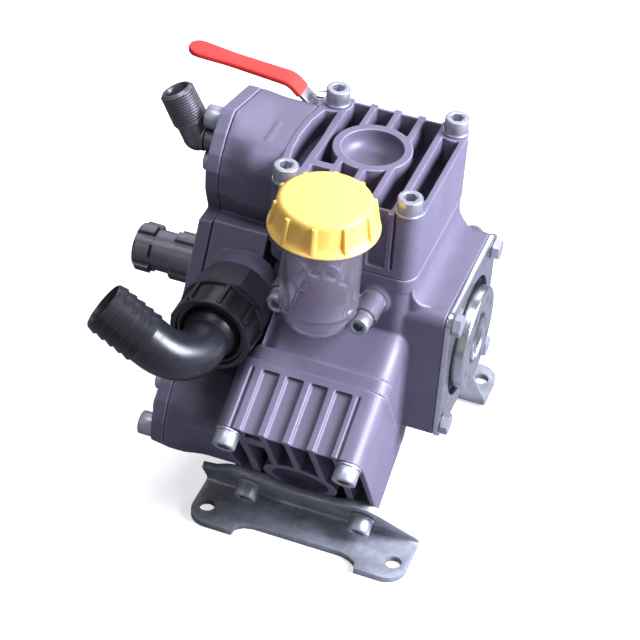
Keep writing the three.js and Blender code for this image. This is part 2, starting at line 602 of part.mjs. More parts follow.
function lever() {
  const eye = rod(9, 0, LEVER.thick, 'z', 16);
  return geometryOf(cut(join(strip(LEVER.path, LEVER.thick, -6.5, 6.5), eye), rod(4.5, -5, 12, 'z', 12)));
}
add('valve_lever', lever(), STEEL).position.set(...leverAt);

function leverGrip() {
  const sleeve = strip([[-14, 5.3], [-22, 12.9], [-97.2, 21.8]], 6.6, -8, 8);
  const hollow = strip([[-10, 3.6 - GAP], [-22, 15 - GAP], [-95.8, 23.73 - GAP]],
    LEVER.thick + 2 * GAP, -6.8, 6.8);
  return geometryOf(cut(sleeve, hollow));
}
add('lever_grip', leverGrip(), [0xd8261c, 0.45, 0.0]).position.set(...leverAt);

const leverNut = cut(prismZ(regular(6, 10), LEVER.thick + GAP, 8), rod(4.5, 0, 20, 'z', 12));
add('lever_nut', geometryOf(leverNut), STEEL).position.set(...leverAt);

// ---------- feet ----------
// Bent steel bracket under a lower head: one leg on the head's face, the other flat on the floor.
function foot() {
  const t = FOOT.thick;
  const [x0, x1] = FOOT.x;
  const face = HEAD_TOP + GAP;
  const leg = (v, w) => [-0.5 * v - Math.sqrt(0.75) * w, Math.sqrt(0.75) * v - 0.5 * w];
  const kneeV = (FOOT.floor + t + 0.5 * (face + t)) / Math.sqrt(0.75);
  const outline = polygon([leg(-43, face), leg(-43, face + t), leg(kneeV, face + t),
    [-117.5, FOOT.floor + t], [-117.5, FOOT.floor], [-72.5, FOOT.floor], leg(kneeV - 1.2, face)]);
  const shell = prismX(outline, x0, x1);
  const tools = [prismZ(roundedRect(-45, -130, 48, -106, 6), FOOT.floor - 1, FOOT.floor + t + 1)];
  for (const x of FOOT.holeX) {
    tools.push(rod(5.5, FOOT.floor - 1, FOOT.floor + t + 1, 'z', 16).translate([x, -FOOT.holeY, 0]));
  }
  for (const x of [-BOLT_X, BOLT_X]) {
    tools.push(turnX(rod(5.7, face - 1, face + t + 1, 'z', 12).translate([x, -BOLT_V, 0]), 120));
  }
  return cut(shell, ...tools);
}
const ZINC = [0x9a9ea6, 0.45, 0.85];
add('foot_front', geometryOf(foot()), ZINC);
add('foot_rear', geometryOf(foot().mirror([0, 1, 0])), ZINC);

// ---------- place the pump on its feet ----------
const assembly = new THREE.Group();
assembly.add(pump);
assembly.updateMatrixWorld(true);
const extent = new THREE.Box3().setFromObject(assembly, true);
const middle = extent.getCenter(new THREE.Vector3());
pump.position.set(-middle.x, -middle.y, -extent.min.z);

export default assembly;
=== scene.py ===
"""Builds the looks of a three-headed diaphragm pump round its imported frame.

Shapes are made in millimetres with the drive shaft along X and the star's centre at the origin.
Each finished piece is then moved to the frame, which is in metres.
"""
import math

import bmesh
import bpy
from mathutils import Matrix, Vector


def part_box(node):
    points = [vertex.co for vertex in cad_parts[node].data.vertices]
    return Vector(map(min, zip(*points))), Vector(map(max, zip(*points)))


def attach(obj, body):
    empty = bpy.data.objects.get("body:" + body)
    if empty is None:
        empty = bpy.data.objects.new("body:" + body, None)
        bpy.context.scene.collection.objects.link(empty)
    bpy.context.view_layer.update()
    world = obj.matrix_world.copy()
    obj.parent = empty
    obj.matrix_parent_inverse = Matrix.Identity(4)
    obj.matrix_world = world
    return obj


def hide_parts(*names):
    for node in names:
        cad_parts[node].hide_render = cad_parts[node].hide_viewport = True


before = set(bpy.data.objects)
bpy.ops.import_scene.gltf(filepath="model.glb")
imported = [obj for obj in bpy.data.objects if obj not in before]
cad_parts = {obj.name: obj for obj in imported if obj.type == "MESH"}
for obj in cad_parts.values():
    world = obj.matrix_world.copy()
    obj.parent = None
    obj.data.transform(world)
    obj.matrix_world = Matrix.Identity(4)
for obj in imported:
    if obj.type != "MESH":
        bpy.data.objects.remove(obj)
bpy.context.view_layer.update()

# ---------- where the shaft axis and the star's plane are in the frame ----------
hub_low, hub_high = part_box("drive_hub")
HEAD_LEFT = -51.0
ORIGIN = Vector((
    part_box("head_top")[0].x - HEAD_LEFT / 1000,
    (hub_low.y + hub_high.y) / 2,
    (hub_low.z + hub_high.z) / 2,
))
TO_FRAME = Matrix.Translation(ORIGIN) @ Matrix.Scale(0.001, 4)
STATIONS = {"top": 0, "front": 120, "rear": -120}

# ---------- dimensions shared by several pieces, in millimetres ----------
DECK, HEAD_TOP = 74.0, 122.9
BOLT_X, BOLT_V = 40.8, 47.9
BOLTS = [(x, v) for x in (-BOLT_X, BOLT_X) for v in (-BOLT_V, BOLT_V)]
M10_HOLE, M8_HOLE = 5.4, 4.4
PORT_R, PASSAGE_R, PASSAGE_V, PASSAGE_W = 9, 6, 13, 83
HEAD_REAR, HEAD_FRONT = 57.0, -54.5
WALLS = ((1, HEAD_REAR), (-1, -HEAD_FRONT))
RIB_PITCH, FIRST_SLOT = 16.5, -25.75
POCKET_X, POCKET_R, RING_R, POCKET_DEPTH = -2.8, 20.3, 26.0, 14.0
POCKET_V = {"top": 9.1, "front": -24.0, "rear": -24.0}
FLANGE_HALF, FLANGE_END = 52.0, 73.0
FLANGE_BOLTS = [(v, w) for v in (-43.8, 43.8) for w in (-42.0, 42.0)]
PARTING, COVER_FACE, ARM_RIGHT, ARM_TOP = -93.5, -103.0, -51.3, 122.3
ARM_V = {"top": (-31.5, 46.0), "front": (-46.0, 31.5), "rear": (-31.5, 46.0)}
SHOULDER = {"top": 1, "front": -1, "rear": 1}
VALVE_ARM_V, SCREW_END = 50.0, -87.0
PORT_W, PORT_SCREW = 104.3, 16.7
PORT_SCREWS = (PORT_W - PORT_SCREW, PORT_W + PORT_SCREW)
INLET_X, INLET_Z = -65.7, 33.0
NUT_REAR, NUT_FRONT, BOSS_END = -84.0, -107.2, -67.8
CUP_X, CUP_Y, CUP_PORT_Z, LUG_X, LUG_Z = -2.2, -83.0, 62, 27.65, 54.3
VALVE_X, VALVE_Y, VALVE_Z, LEVER_Z = -62.0, 76.0, 82.0, 98.0
FLOOR_Z, PLATE = -127.8, 4.6


# ---------- mesh helpers ----------
def link(mesh, name="part"):
    obj = bpy.data.objects.new(name, mesh)
    bpy.context.scene.collection.objects.link(obj)
    return obj


def from_faces(verts, faces):
    mesh = bpy.data.meshes.new("part")
    mesh.from_pydata([tuple(v) for v in verts], [], faces)
    mesh.validate()
    bm = bmesh.new()
    bm.from_mesh(mesh)
    bmesh.ops.recalc_face_normals(bm, faces=bm.faces)
    bm.to_mesh(mesh)
    bm.free()
    return link(mesh)


def stacked(verts, sides):
    """A body with flat ends from equal rings of points, one after another."""
    rings = [tuple(range(i, i + sides)) for i in range(0, len(verts), sides)]
    faces = [rings[0][::-1], rings[-1]]
    for a, b in zip(rings, rings[1:]):
        faces += [(a[k], a[(k + 1) % sides], b[(k + 1) % sides], b[k]) for k in range(sides)]
    return from_faces(verts, faces)


def turn(obj, matrix):
    obj.data.transform(matrix)
    return obj


def rotate(obj, degrees, axis):
    return turn(obj, Matrix.Rotation(math.radians(degrees), 4, axis))


def move(obj, x=0, y=0, z=0):
    return turn(obj, Matrix.Translation((x, y, z)))


def copy(obj):
    return link(obj.data.copy())


# A prism runs along Z from an (x, y) outline, along X from (y, z), along Y from (z, x).
AXES = {
    "z": Matrix.Identity(4),
    "x": Matrix(((0, 0, 1, 0), (1, 0, 0, 0), (0, 1, 0, 0), (0, 0, 0, 1))),
    "y": Matrix(((0, 1, 0, 0), (0, 0, 1, 0), (1, 0, 0, 0), (0, 0, 0, 1))),
}


def prism(outline, low, high, axis="z"):
    return turn(stacked([(x, y, z) for z in (low, high) for x, y in outline], len(outline)), AXES[axis])


def rectangle(x0, y0, x1, y1):
    return [(x0, y0), (x1, y0), (x1, y1), (x0, y1)]


def box(x0, y0, z0, x1, y1, z1):
    return prism(rectangle(x0, y0, x1, y1), z0, z1)


def turned(profile, axis="z", segments=64):
    """A closed (radius, height) profile turned round an axis. A radius of 0 is a point on it."""
    verts, rings = [], []
    for r, h in profile:
        if r < 1e-6:
            rings.append([len(verts)])
            verts.append((0, 0, h))
        else:
            rings.append(list(range(len(verts), len(verts) + segments)))
            for k in range(segments):
                a = 2 * math.pi * k / segments
                verts.append((r * math.cos(a), r * math.sin(a), h))
    closed = len(rings[0]) > 1
    faces = []
    for i in range(len(rings) if closed else len(rings) - 1):
        a, b = rings[i], rings[(i + 1) % len(rings)]
        for k in range(segments):
            m = (k + 1) % segments
            if len(a) == 1 and len(b) == 1:
                continue
            if len(a) == 1:
                faces.append((a[0], b[m], b[k]))
            elif len(b) == 1:
                faces.append((a[k], a[m], b[0]))
            else:
                faces.append((a[k], a[m], b[m], b[k]))
    return turn(from_faces(verts, faces), AXES[axis])


def rod(r, low, high, axis="z", segments=64):
    return turned([(0, low), (r, low), (r, high), (0, high)], axis, segments)


def ring(inner, outer, low, high, axis="z", chamfer=0.5, segments=72):
    c = chamfer
    return turned([(inner, low + c), (inner + c, low), (outer - c, low), (outer, low + c),
                   (outer, high - c), (outer - c, high), (inner + c, high), (inner, high - c)],
                  axis, segments)


def sphere(r, segments=48):
    n = segments // 2
    return turned([(r * math.sin(math.pi * i / n), -r * math.cos(math.pi * i / n)) for i in range(n + 1)],
                  "z", segments)


def arc(cx, cy, rx, start, end, steps=8, ry=None):
    """Points on a circle, or on an ellipse where a second radius is given."""
    angles = [math.radians(start + (end - start) * i / steps) for i in range(steps + 1)]
    return [(cx + rx * math.cos(a), cy + (rx if ry is None else ry) * math.sin(a)) for a in angles]


def curve(start, control, end, steps):
    """A quadratic curve from start to end that leans towards the control point."""
    out = []
    for i in range(steps + 1):
        t = i / steps
        out.append((start * (1 - t) + control * t) * (1 - t) + (control * (1 - t) + end * t) * t)
    return out


def rounded(x0, y0, x1, y1, r, steps=8):
    return (arc(x1 - r, y0 + r, r, -90, 0, steps) + arc(x1 - r, y1 - r, r, 0, 90, steps)
            + arc(x0 + r, y1 - r, r, 90, 180, steps) + arc(x0 + r, y0 + r, r, 180, 270, steps))


def regular(sides, flats, offset=0.0):
    r = flats / 2 / math.cos(math.pi / sides)
    return [(r * math.cos(offset + (i + 0.5) * 2 * math.pi / sides),
             r * math.sin(offset + (i + 0.5) * 2 * math.pi / sides)) for i in range(sides)]


def resample(outline, centre, sides):
    """Points on an outline, at even angles round a centre that sees all of it."""
    (cx, cy), out = centre, []
    for k in range(sides):
        dx, dy = math.cos(2 * math.pi * k / sides), math.sin(2 * math.pi * k / sides)
        best = 0.0
        for (x0, y0), (x1, y1) in zip(outline, outline[1:] + outline[:1]):
            ex, ey = x1 - x0, y1 - y0
            det = dx * ey - dy * ex
            if abs(det) > 1e-9:
                along = ((x0 - cx) * ey - (y0 - cy) * ex) / det
                if -1e-6 <= ((x0 - cx) * dy - (y0 - cy) * dx) / det <= 1 + 1e-6:
                    best = max(best, along)
        out.append((cx + dx * best, cy + dy * best))
    return out


def loft(first, last, low, high, centre, steps=10, sides=160):
    """A body along X whose outline changes gently from the first to the last."""
    a, b = resample(first, centre, sides), resample(last, centre, sides)
    verts = []
    for i in range(steps + 1):
        t = i / steps
        ease = t * t * (3 - 2 * t)
        verts += [(low + (high - low) * t, p[0] + (q[0] - p[0]) * ease, p[1] + (q[1] - p[1]) * ease)
                  for p, q in zip(a, b)]
    return stacked(verts, sides)


def apply_modifiers(obj):
    graph = bpy.context.evaluated_depsgraph_get()
    mesh = bpy.data.meshes.new_from_object(obj.evaluated_get(graph))
    obj.modifiers.clear()
    old, obj.data = obj.data, mesh
    bpy.data.meshes.remove(old)
    return obj


def boolean(base, tools, operation):
    for tool in tools:
        mod = base.modifiers.new("boolean", "BOOLEAN")
        mod.object, mod.operation, mod.solver = tool, operation, "MANIFOLD"
    apply_modifiers(base)
    for tool in tools:
        bpy.data.objects.remove(tool)
    return base


def join(base, *others):
    return boolean(base, others, "UNION")


def cut(base, *tools):
    return boolean(base, tools, "DIFFERENCE")


def everywhere(make):
    """The same tool at all three head stations."""
    return [rotate(make(), angle, "X") for angle in STATIONS.values()]


def cast(obj, voxel, smoothing, share):
    """Rounds every edge of a casting: a fine voxel shell, smoothed and thinned to a share of its faces."""
    scale = 1.0
    mod = obj.modifiers.new("voxels", "REMESH")
    mod.mode, mod.voxel_size, mod.use_smooth_shade = "VOXEL", voxel * scale, True
    mod = obj.modifiers.new("smooth", "SMOOTH")
    mod.factor, mod.iterations = 0.5, smoothing
    mod = obj.modifiers.new("thin", "DECIMATE")
    mod.ratio = share
    apply_modifiers(obj)
    obj["cast"] = True
    return obj


def bevel(obj, width=0.4, segments=2, angle=32):
    mod = obj.modifiers.new("bevel", "BEVEL")
    mod.width, mod.segments, mod.limit_method = width, segments, "ANGLE"
    mod.angle_limit, mod.use_clamp_overlap = math.radians(angle), True
    return apply_modifiers(obj)


def piece(obj, name, node, look, body="pump_body", station=None, sharp=38):
    """Puts a finished shape into the frame as a piece, which mostly stands for a CAD node."""
    slot, material = look
    if station:
        rotate(obj, STATIONS[station], "X")
    turn(obj, TO_FRAME)
    obj.name = obj.data.name = name
    obj.data.materials.clear()
    obj.data.materials.append(material)
    obj.data.shade_smooth()
    if "cast" not in obj:
        obj.data.set_sharp_from_angle(angle=math.radians(sharp))
    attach(obj, body)
    if node:
        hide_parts(node)


# ---------- materials ----------
def new_material(name):
    mat = bpy.data.materials.new(name)
    mat.use_nodes = True
    return mat, mat.node_tree, mat.node_tree.nodes["Principled BSDF"].inputs


def noise(tree, scale, detail=4.0, rough=0.55):
    """Object-space noise: the scale is in cycles per metre."""
    coord, tex = tree.nodes.new("ShaderNodeTexCoord"), tree.nodes.new("ShaderNodeTexNoise")
    for name, value in (("Scale", scale), ("Detail", detail), ("Roughness", rough)):
        tex.inputs[name].default_value = value
    tree.links.new(coord.outputs["Object"], tex.inputs["Vector"])
    return tex.outputs["Fac"]


def ramp(tree, source, stops, into):
    """Turns a value into the colours or greys of the stops and feeds them into a socket."""
    node = tree.nodes.new("ShaderNodeValToRGB")
    elements = node.color_ramp.elements
    while len(elements) < len(stops):
        elements.new(0.5)
    for element, (position, color) in zip(elements, stops):
        element.position = position
        element.color = (*color, 1) if isinstance(color, tuple) else (color, color, color, 1)
    tree.links.new(source, node.inputs["Fac"])
    tree.links.new(node.outputs["Color"], into)


def bump(tree, sockets, height, strength, distance):
    node = tree.nodes.new("ShaderNodeBump")
    node.inputs["Strength"].default_value = strength
    node.inputs["Distance"].default_value = distance
    tree.links.new(height, node.inputs["Height"])
    tree.links.new(node.outputs["Normal"], sockets["Normal"])


def scaled(color, k):
    return tuple(min(1.0, c * k) for c in color)


def painted_casting(name, color):
    """Satin paint on a fine-grained casting, with a painted highlight: the colour is paler along sharp
    edges.
    """
    mat, tree, sockets = new_material(name)
    broad, grain = noise(tree, 26, 5, 0.6), noise(tree, 900, 3, 0.6)
    geometry, mix = tree.nodes.new("ShaderNodeNewGeometry"), tree.nodes.new("ShaderNodeMix")
    mix.data_type = "RGBA"
    # painted highlight: where pointiness marks an edge, the base colour turns 2.3 times paler
    ramp(tree, geometry.outputs["Pointiness"], [(0.508, 0.0), (0.55, 0.75)], mix.inputs["Factor"])
    ramp(tree, broad, [(0.3, scaled(color, 0.9)), (0.7, scaled(color, 1.12))], mix.inputs[6])
    mix.inputs[7].default_value = (*scaled(color, 2.3), 1)
    tree.links.new(mix.outputs[2], sockets["Base Color"])
    ramp(tree, broad, [(0.3, 0.40), (0.7, 0.50)], sockets["Roughness"])
    bump(tree, sockets, grain, 0.35, 0.0003)
    return mat


def metal(name, color, rough, spread=0.12, grain=700, strength=0.15, metallic=1.0):
    mat, tree, sockets = new_material(name)
    broad, fine = noise(tree, 45, 5, 0.6), noise(tree, grain, 4, 0.6)
    ramp(tree, broad, [(0.3, scaled(color, 0.85)), (0.7, scaled(color, 1.1))], sockets["Base Color"])
    ramp(tree, fine, [(0.3, max(0.05, rough - spread)), (0.7, rough + spread)], sockets["Roughness"])
    sockets["Metallic"].default_value = metallic
    bump(tree, sockets, fine, strength, 0.0002)
    return mat


def spangled(name, color):
    """Galvanised plate: faint crystals with a dull, stained finish."""
    mat, tree, sockets = new_material(name)
    coord, cells = tree.nodes.new("ShaderNodeTexCoord"), tree.nodes.new("ShaderNodeTexVoronoi")
    cells.inputs["Scale"].default_value = 260
    tree.links.new(coord.outputs["Object"], cells.inputs["Vector"])
    stains = noise(tree, 22, 6, 0.65)
    tint, grey = tree.nodes.new("ShaderNodeMix"), tree.nodes.new("ShaderNodeSeparateColor")
    tint.data_type, tint.blend_type = "RGBA", "OVERLAY"
    tint.inputs["Factor"].default_value = 0.09
    ramp(tree, stains, [(0.32, scaled(color, 0.6)), (0.5, color), (0.72, scaled(color, 1.35))],
         tint.inputs[6])
    tree.links.new(cells.outputs["Color"], grey.inputs["Color"])
    tree.links.new(grey.outputs["Red"], tint.inputs[7])
    tree.links.new(tint.outputs[2], sockets["Base Color"])
    ramp(tree, stains, [(0.3, 0.5), (0.7, 0.34)], sockets["Roughness"])
    sockets["Metallic"].default_value = 0.6
    bump(tree, sockets, noise(tree, 500), 0.25, 0.0002)
    return mat


def plastic(name, color, rough, mottling=0.06, grain=600, strength=0.08):
    mat, tree, sockets = new_material(name)
    broad, fine = noise(tree, 35, 4, 0.5), noise(tree, grain, 3, 0.5)
    ramp(tree, broad, [(0.3, scaled(color, 1 - mottling)), (0.7, scaled(color, 1 + mottling))],
         sockets["Base Color"])
    ramp(tree, fine, [(0.3, max(0.03, rough - 0.04)), (0.7, rough + 0.05)], sockets["Roughness"])
    bump(tree, sockets, fine, strength, 0.0002)
    return mat


def clear_plastic(name):
    mat, tree, sockets = new_material(name)
    waves = noise(tree, 60, 3, 0.5)
    ramp(tree, waves, [(0.3, (0.93, 0.87, 1.0)), (0.7, (0.98, 0.95, 1.0))], sockets["Base Color"])
    ramp(tree, waves, [(0.35, 0.02), (0.7, 0.09)], sockets["Roughness"])
    sockets["Transmission Weight"].default_value = 0.95
    sockets["IOR"].default_value = 1.30
    bump(tree, sockets, waves, 0.15, 0.0005)
    return mat


# Each look is a slot of the record and the material that shows it.
CAST = "cast_paint", painted_casting("cast_paint", (0.135, 0.119, 0.170))
ZINC = "zinc", metal("zinc_screws", (0.42, 0.42, 0.465), 0.44, 0.08, 700, 0.1, 0.8)
ZINC_FOOT = "galvanised", spangled("galvanised_plate", (0.42, 0.43, 0.47))
BRIGHT = "machined", metal("machined_steel", (0.56, 0.56, 0.59), 0.25, 0.03, 1400, 0.02)
DARK = "dark_steel", metal("dark_steel", (0.17, 0.165, 0.185), 0.40, 0.1, 900, 0.2, 0.85)
BEARING = "bearing_steel", metal("bearing_steel", (0.62, 0.63, 0.64), 0.2, 0.05, 1500, 0.05)
CHROME = "chromed", metal("chrome", (0.8, 0.81, 0.82), 0.1, 0.04, 1500, 0.03)
BLACK = "black_plastic", plastic("black_nylon", (0.012, 0.012, 0.016), 0.31, 0.06, 300, 0.01)
ADAPTER = "black_plastic", plastic("grey_nylon", (0.048, 0.043, 0.058), 0.5, 0.06, 300, 0.02)
RUBBER = "rubber", plastic("black_rubber", (0.02, 0.02, 0.02), 0.7, 0.1, 900, 0.3)
YELLOW = "yellow_plastic", plastic("yellow_cap", (0.97, 0.58, 0.13), 0.42, 0.03, 600, 0.04)
soft = YELLOW[1].node_tree.nodes["Principled BSDF"].inputs
soft["Subsurface Weight"].default_value = 0.25
soft["Subsurface Radius"].default_value = (1.0, 0.7, 0.25)
soft["Subsurface Scale"].default_value = 0.015
RED = "red_vinyl", plastic("red_sleeve", (1.0, 0.060, 0.050), 0.55, 0.05, 300, 0.03)
RED[1].node_tree.nodes["Principled BSDF"].inputs["Specular IOR Level"].default_value = 0.12
CLEAR = "clear_plastic", clear_plastic("clear_cup")


# ---------- castings ----------
def column(i):
    return FIRST_SLOT + RIB_PITCH * (i - 1)


def crankcase():
    left, right = -39.5, 49.7
    body, *parts = everywhere(lambda: prism(rounded(left, HEAD_FRONT, right, 54, 12), 20, DECK))
    parts += everywhere(lambda: prism(deck_outline(), 64, DECK))
    parts += everywhere(lambda: prism(rectangle(-54.6, 40, 54.6, 64), left, -38, "x"))
    parts += [rod(58, left, 46, "x", 96), rod(39.4, -55, -30, "x", 96)]
    h = FLANGE_HALF
    parts.append(prism(rounded(-h, -h, h, h, 9), 44, FLANGE_END, "x"))
    # a sweeping fillet from each face of the flange box up to the cylinder walls
    sweep = [(44, 49)] + arc(63, 66, 13.8, 180, 270, 10) + [(63, 49)]
    sweep = prism([(z, x) for x, z in sweep][::-1], -50, 50, "y")
    parts.append(boolean(sweep, [prism(rounded(10, -50, 63.5, 50, 15, 12), 40, 80)], "INTERSECT"))
    parts.append(move(rod(11, -56, -45, "y", 48), CUP_X, 0, CUP_PORT_Z))
    for side in (-1, 1):
        parts.append(move(rod(10.2, -56, -40, "y", 48), CUP_X + side * LUG_X, 0, LUG_Z))
    join(body, *parts)
    tools = [
        move(rod(30.2, -100, -81, "y"), INLET_X, 0, INLET_Z),
        rod(47, -34, 28, "x", 80), rod(41, 20, 46, "x", 80), rod(42, 46, FLANGE_END + 1, "x", 96),
        rod(32, -50, -30, "x", 80), rod(27, -56, -49, "x", 80),
        move(rod(5, -60, -40, "y", 32), CUP_X, 0, CUP_PORT_Z),
    ]
    for r, low in ((28.6, 20), (45.5, 70)):
        tools += everywhere(lambda: rod(r, low, DECK + 1, "z", 80))
    for x, v in BOLTS:
        tools += everywhere(lambda: move(rod(M10_HOLE, 64, DECK + 1, "z", 24), x, v))
    for side in (-1, 1):
        tools.append(move(rod(M8_HOLE, -60, -46, "y", 24), CUP_X + side * LUG_X, 0, LUG_Z))
    tools += [move(rod(M8_HOLE, 55, FLANGE_END + 1, "x", 24), 0, v, w) for v, w in FLANGE_BOLTS]
    cut(body, *tools)
    return cast(body, 0.85, 4, 0.3)


def deck_outline():
    """The joint face between crankcase and head, bowed a little towards the manifold."""
    return (arc(39.5, -44, 10.5, -90, 0) + arc(39.5, 45, 10.5, 0, 90) + arc(-38.5, 45, 10.5, 90, 165)
            + [(-50.0, 30), (-50.9, 12), (-50.9, -12), (-50.0, -30)] + arc(-38.5, -44, 10.5, 195, 270))


def head(pocket_v):
    outline = (arc(39.5, -44, 10.5, -90, 0) + arc(39.5, 46.5, 10.5, 0, 90) + arc(-39.5, 46.5, 10.5, 90, 160)
               + [(-51.3, 36), (-53.4, 22), (-54.3, 4), (-53.3, -14), (-50.9, -32)]
               + arc(-39.5, -43.0, 11.5, 192, 270))
    body = prism(outline, DECK + 0.3, HEAD_TOP)
    keep = move(rod(RING_R, DECK, HEAD_TOP + 2), POCKET_X, pocket_v)
    low, high = (-25, -19) if pocket_v > 0 else (30, 42)
    join(keep, box(column(1) - 8, low, DECK, column(1) + 8, high, HEAD_TOP + 2),
         *[move(rod(10.4, DECK, HEAD_TOP + 2, "z", 48), x, v) for x, v in BOLTS])
    floor = HEAD_TOP - 27

    def slot(i, low_v, high_v, width=12.4):
        half, top = width / 2, HEAD_TOP + 1
        shape = [(top, -half), (top, half), (floor + 3, half - 1.6), (floor, half - 3.2),
                 (floor, 3.2 - half), (floor + 3, 1.6 - half)]
        return move(prism(shape, low_v, high_v, "y"), column(i))

    slots = slot(1, -50, 52.5)
    bowed = [(-37.3, -31), (-36.6, 4), (-37.3, 37.5), (-45.5, 36), (-48.9, 22), (-49.9, 4),
             (-48.8, -14), (-45.4, -30)]
    join(slots, *[slot(i, -50, 52.5) for i in (2, 3, 4)], prism(bowed, HEAD_TOP - 19, HEAD_TOP + 1),
         slot(5, -32, 39.5, 11.4))
    cut(slots, keep)
    tools = [slots]
    for i in (1, 2, 3, 4):
        x = column(i)
        for side, wall in WALLS:
            half, deep = 5.9, wall - 2.9
            shape = [(x - half, side * (wall + 1)), (x - half + 0.6, side * deep),
                     (x + half - 0.6, side * deep), (x + half, side * (wall + 1))]
            tools.append(prism(shape if side < 0 else shape[::-1], DECK + 6, HEAD_TOP + 1))
    for x in (-38.2, 34.2):
        for side, wall in WALLS:
            y = side * (wall - 0.9)
            tools.append(box(x - 0.9, y - 0.9, DECK + 6, x + 0.9, y + 1.8, HEAD_TOP + 1))
    bottom = HEAD_TOP - POCKET_DEPTH
    profile = ([(0, bottom), (9, bottom)] + arc(9, bottom + 9, POCKET_R - 9, -80, 0, 8, 9)
               + [(POCKET_R, HEAD_TOP + 1), (0, HEAD_TOP + 1)])
    tools.append(move(turned(profile, "z", 96), POCKET_X, pocket_v))
    tools.append(rod(38, DECK, 90, "z", 80))
    for v in (-PASSAGE_V, PASSAGE_V):
        tools.append(move(rod(PASSAGE_R, -60, -20, "x", 32), 0, v, PASSAGE_W))
    tools += [move(rod(M10_HOLE, DECK - 1, HEAD_TOP + 1, "z", 24), x, v) for x, v in BOLTS]
    cut(body, *tools)
    return cast(body, 0.55, 2, 0.3)


def star_centre(flat, low, high, square):
    body = rod(90, low, high, "x", 96)
    tools = [rotate(box(-200, -99, flat, 0, 99, 200), a, "X") for a in (60, 180, 300)]
    tools += [rotate(box(-200, -99, square, 0, 99, 200), a, "X") for a in (0, 120, 240)]
    return cut(body, *tools)


def arm_outline(v0, v1, top, neck=21.5):
    return ([(-neck, 40), (neck, 40), (min(neck, v1), 62)] + [(v1, 82)] + arc(v1 - 8, top - 8, 8, 0, 90)
            + arc(v0 + 17, top - 17, 17, 90, 180) + [(v0, 82), (-neck, 62)])


def manifold_body():
    body = star_centre(63, PARTING, -55.3, 66)
    parts = []
    for name, angle in STATIONS.items():
        side = SHOULDER[name]
        outline = arm_outline(*ARM_V[name], ARM_TOP)
        parts.append(rotate(prism(outline, -70.5, ARM_RIGHT - 0.2, "x"), angle, "X"))
        parts.append(rotate(loft(lobe_outline(side), outline, PARTING, -70, (3 * side, 92)), angle, "X"))
    boss = [(0, PARTING), (8.0, PARTING), (7.4, -86), (4.5, -84), (0, -83.5)]
    parts += everywhere(lambda: move(turned(boss, "x", 40), 0, 0, PORT_W + PORT_SCREW))
    parts.append(prism(arm_outline(0, VALVE_ARM_V, 99), -75, ARM_RIGHT - 0.2, "x"))
    parts.append(move(rod(23.8, BOSS_END, -44, "y", 80), INLET_X, 0, INLET_Z))
    # shallow cast steps on the outside of each arm
    parts += everywhere(lambda: prism(rounded(-69, -12, -66, 12, 1.2), ARM_TOP - 2, ARM_TOP + 0.5))
    join(body, *parts)
    tools = [rod(19.5, -100, -50, "x", 80), move(rod(20.3, BOSS_END - 1, -38, "y"), INLET_X, 0, INLET_Z),
             move(rod(10.5, 20, 51, "y", 48), VALVE_X, 0, VALVE_Z)]
    tools += everywhere(lambda: move(rod(PORT_R, PARTING - 1, -60, "x", 48), 0, 0, PORT_W))
    for v in (PASSAGE_V, -PASSAGE_V):
        tools += everywhere(lambda: move(rod(PASSAGE_R, -70, -50, "x", 32), 0, v, PASSAGE_W))
    for w in PORT_SCREWS:
        tools += everywhere(lambda: move(rod(M10_HOLE, PARTING - 1, SCREW_END, "x", 24), 0, 0, w))
    tools += everywhere(lambda: move(rod(5, 60, PORT_W, "z", 24), -66, PASSAGE_V))
    cut(body, *tools)
    return cast(body, 0.8, 4, 0.3)


def lobe_outline(side=1):
    """A narrow and a wide shoulder, with a pointed boss round the outer screw between them."""
    half = ([(-21, 40), (21, 40), (22, 62), (42, 84), (49.5, 98)] + arc(42, 114, 7.8, 0, 75, 6)
            + arc(0, PORT_W + PORT_SCREW, 9.8, 76, 126, 10)
            + [(-15.5, 121), (-24.0, 110), (-28.3, 99), (-28.3, 84), (-21, 62)])
    return half if side > 0 else [(-v, w) for v, w in reversed(half)]


def manifold_cover():
    back = PARTING - 0.3
    body = star_centre(65, COVER_FACE, back, 66)
    parts = [rotate(prism(lobe_outline(SHOULDER[name]), COVER_FACE, back, "x"), angle, "X")
             for name, angle in STATIONS.items()]
    parts.append(rod(30, COVER_FACE - 3, back, "x", 96))
    # stiffening ribs from the shaft boss to each lobe
    for angle in (60, 180, 300):
        parts.append(rotate(prism(rounded(-3, 26, 3, 58, 2, 4), COVER_FACE - 1.8, back, "x"), angle, "X"))
    join(body, *parts)
    tools = [rod(19.5, -120, -90, "x", 80)]
    tools += everywhere(lambda: move(rod(PORT_R, -110, -90, "x", 48), 0, 0, PORT_W))
    for w in PORT_SCREWS:
        tools += everywhere(lambda: move(rod(M10_HOLE, -110, -90, "x", 24), 0, 0, w))
    cut(body, *tools)
    return cast(body, 0.6, 3, 0.35)


piece(crankcase(), "crankcase_casting", "crankcase", CAST)
for station in STATIONS:
    piece(head(POCKET_V[station]), f"head_casting_{station}", f"head_{station}", CAST, station=station)
piece(manifold_body(), "manifold_casting", "manifold_body", CAST)
piece(manifold_cover(), "manifold_cover_casting", "manifold_cover", CAST)


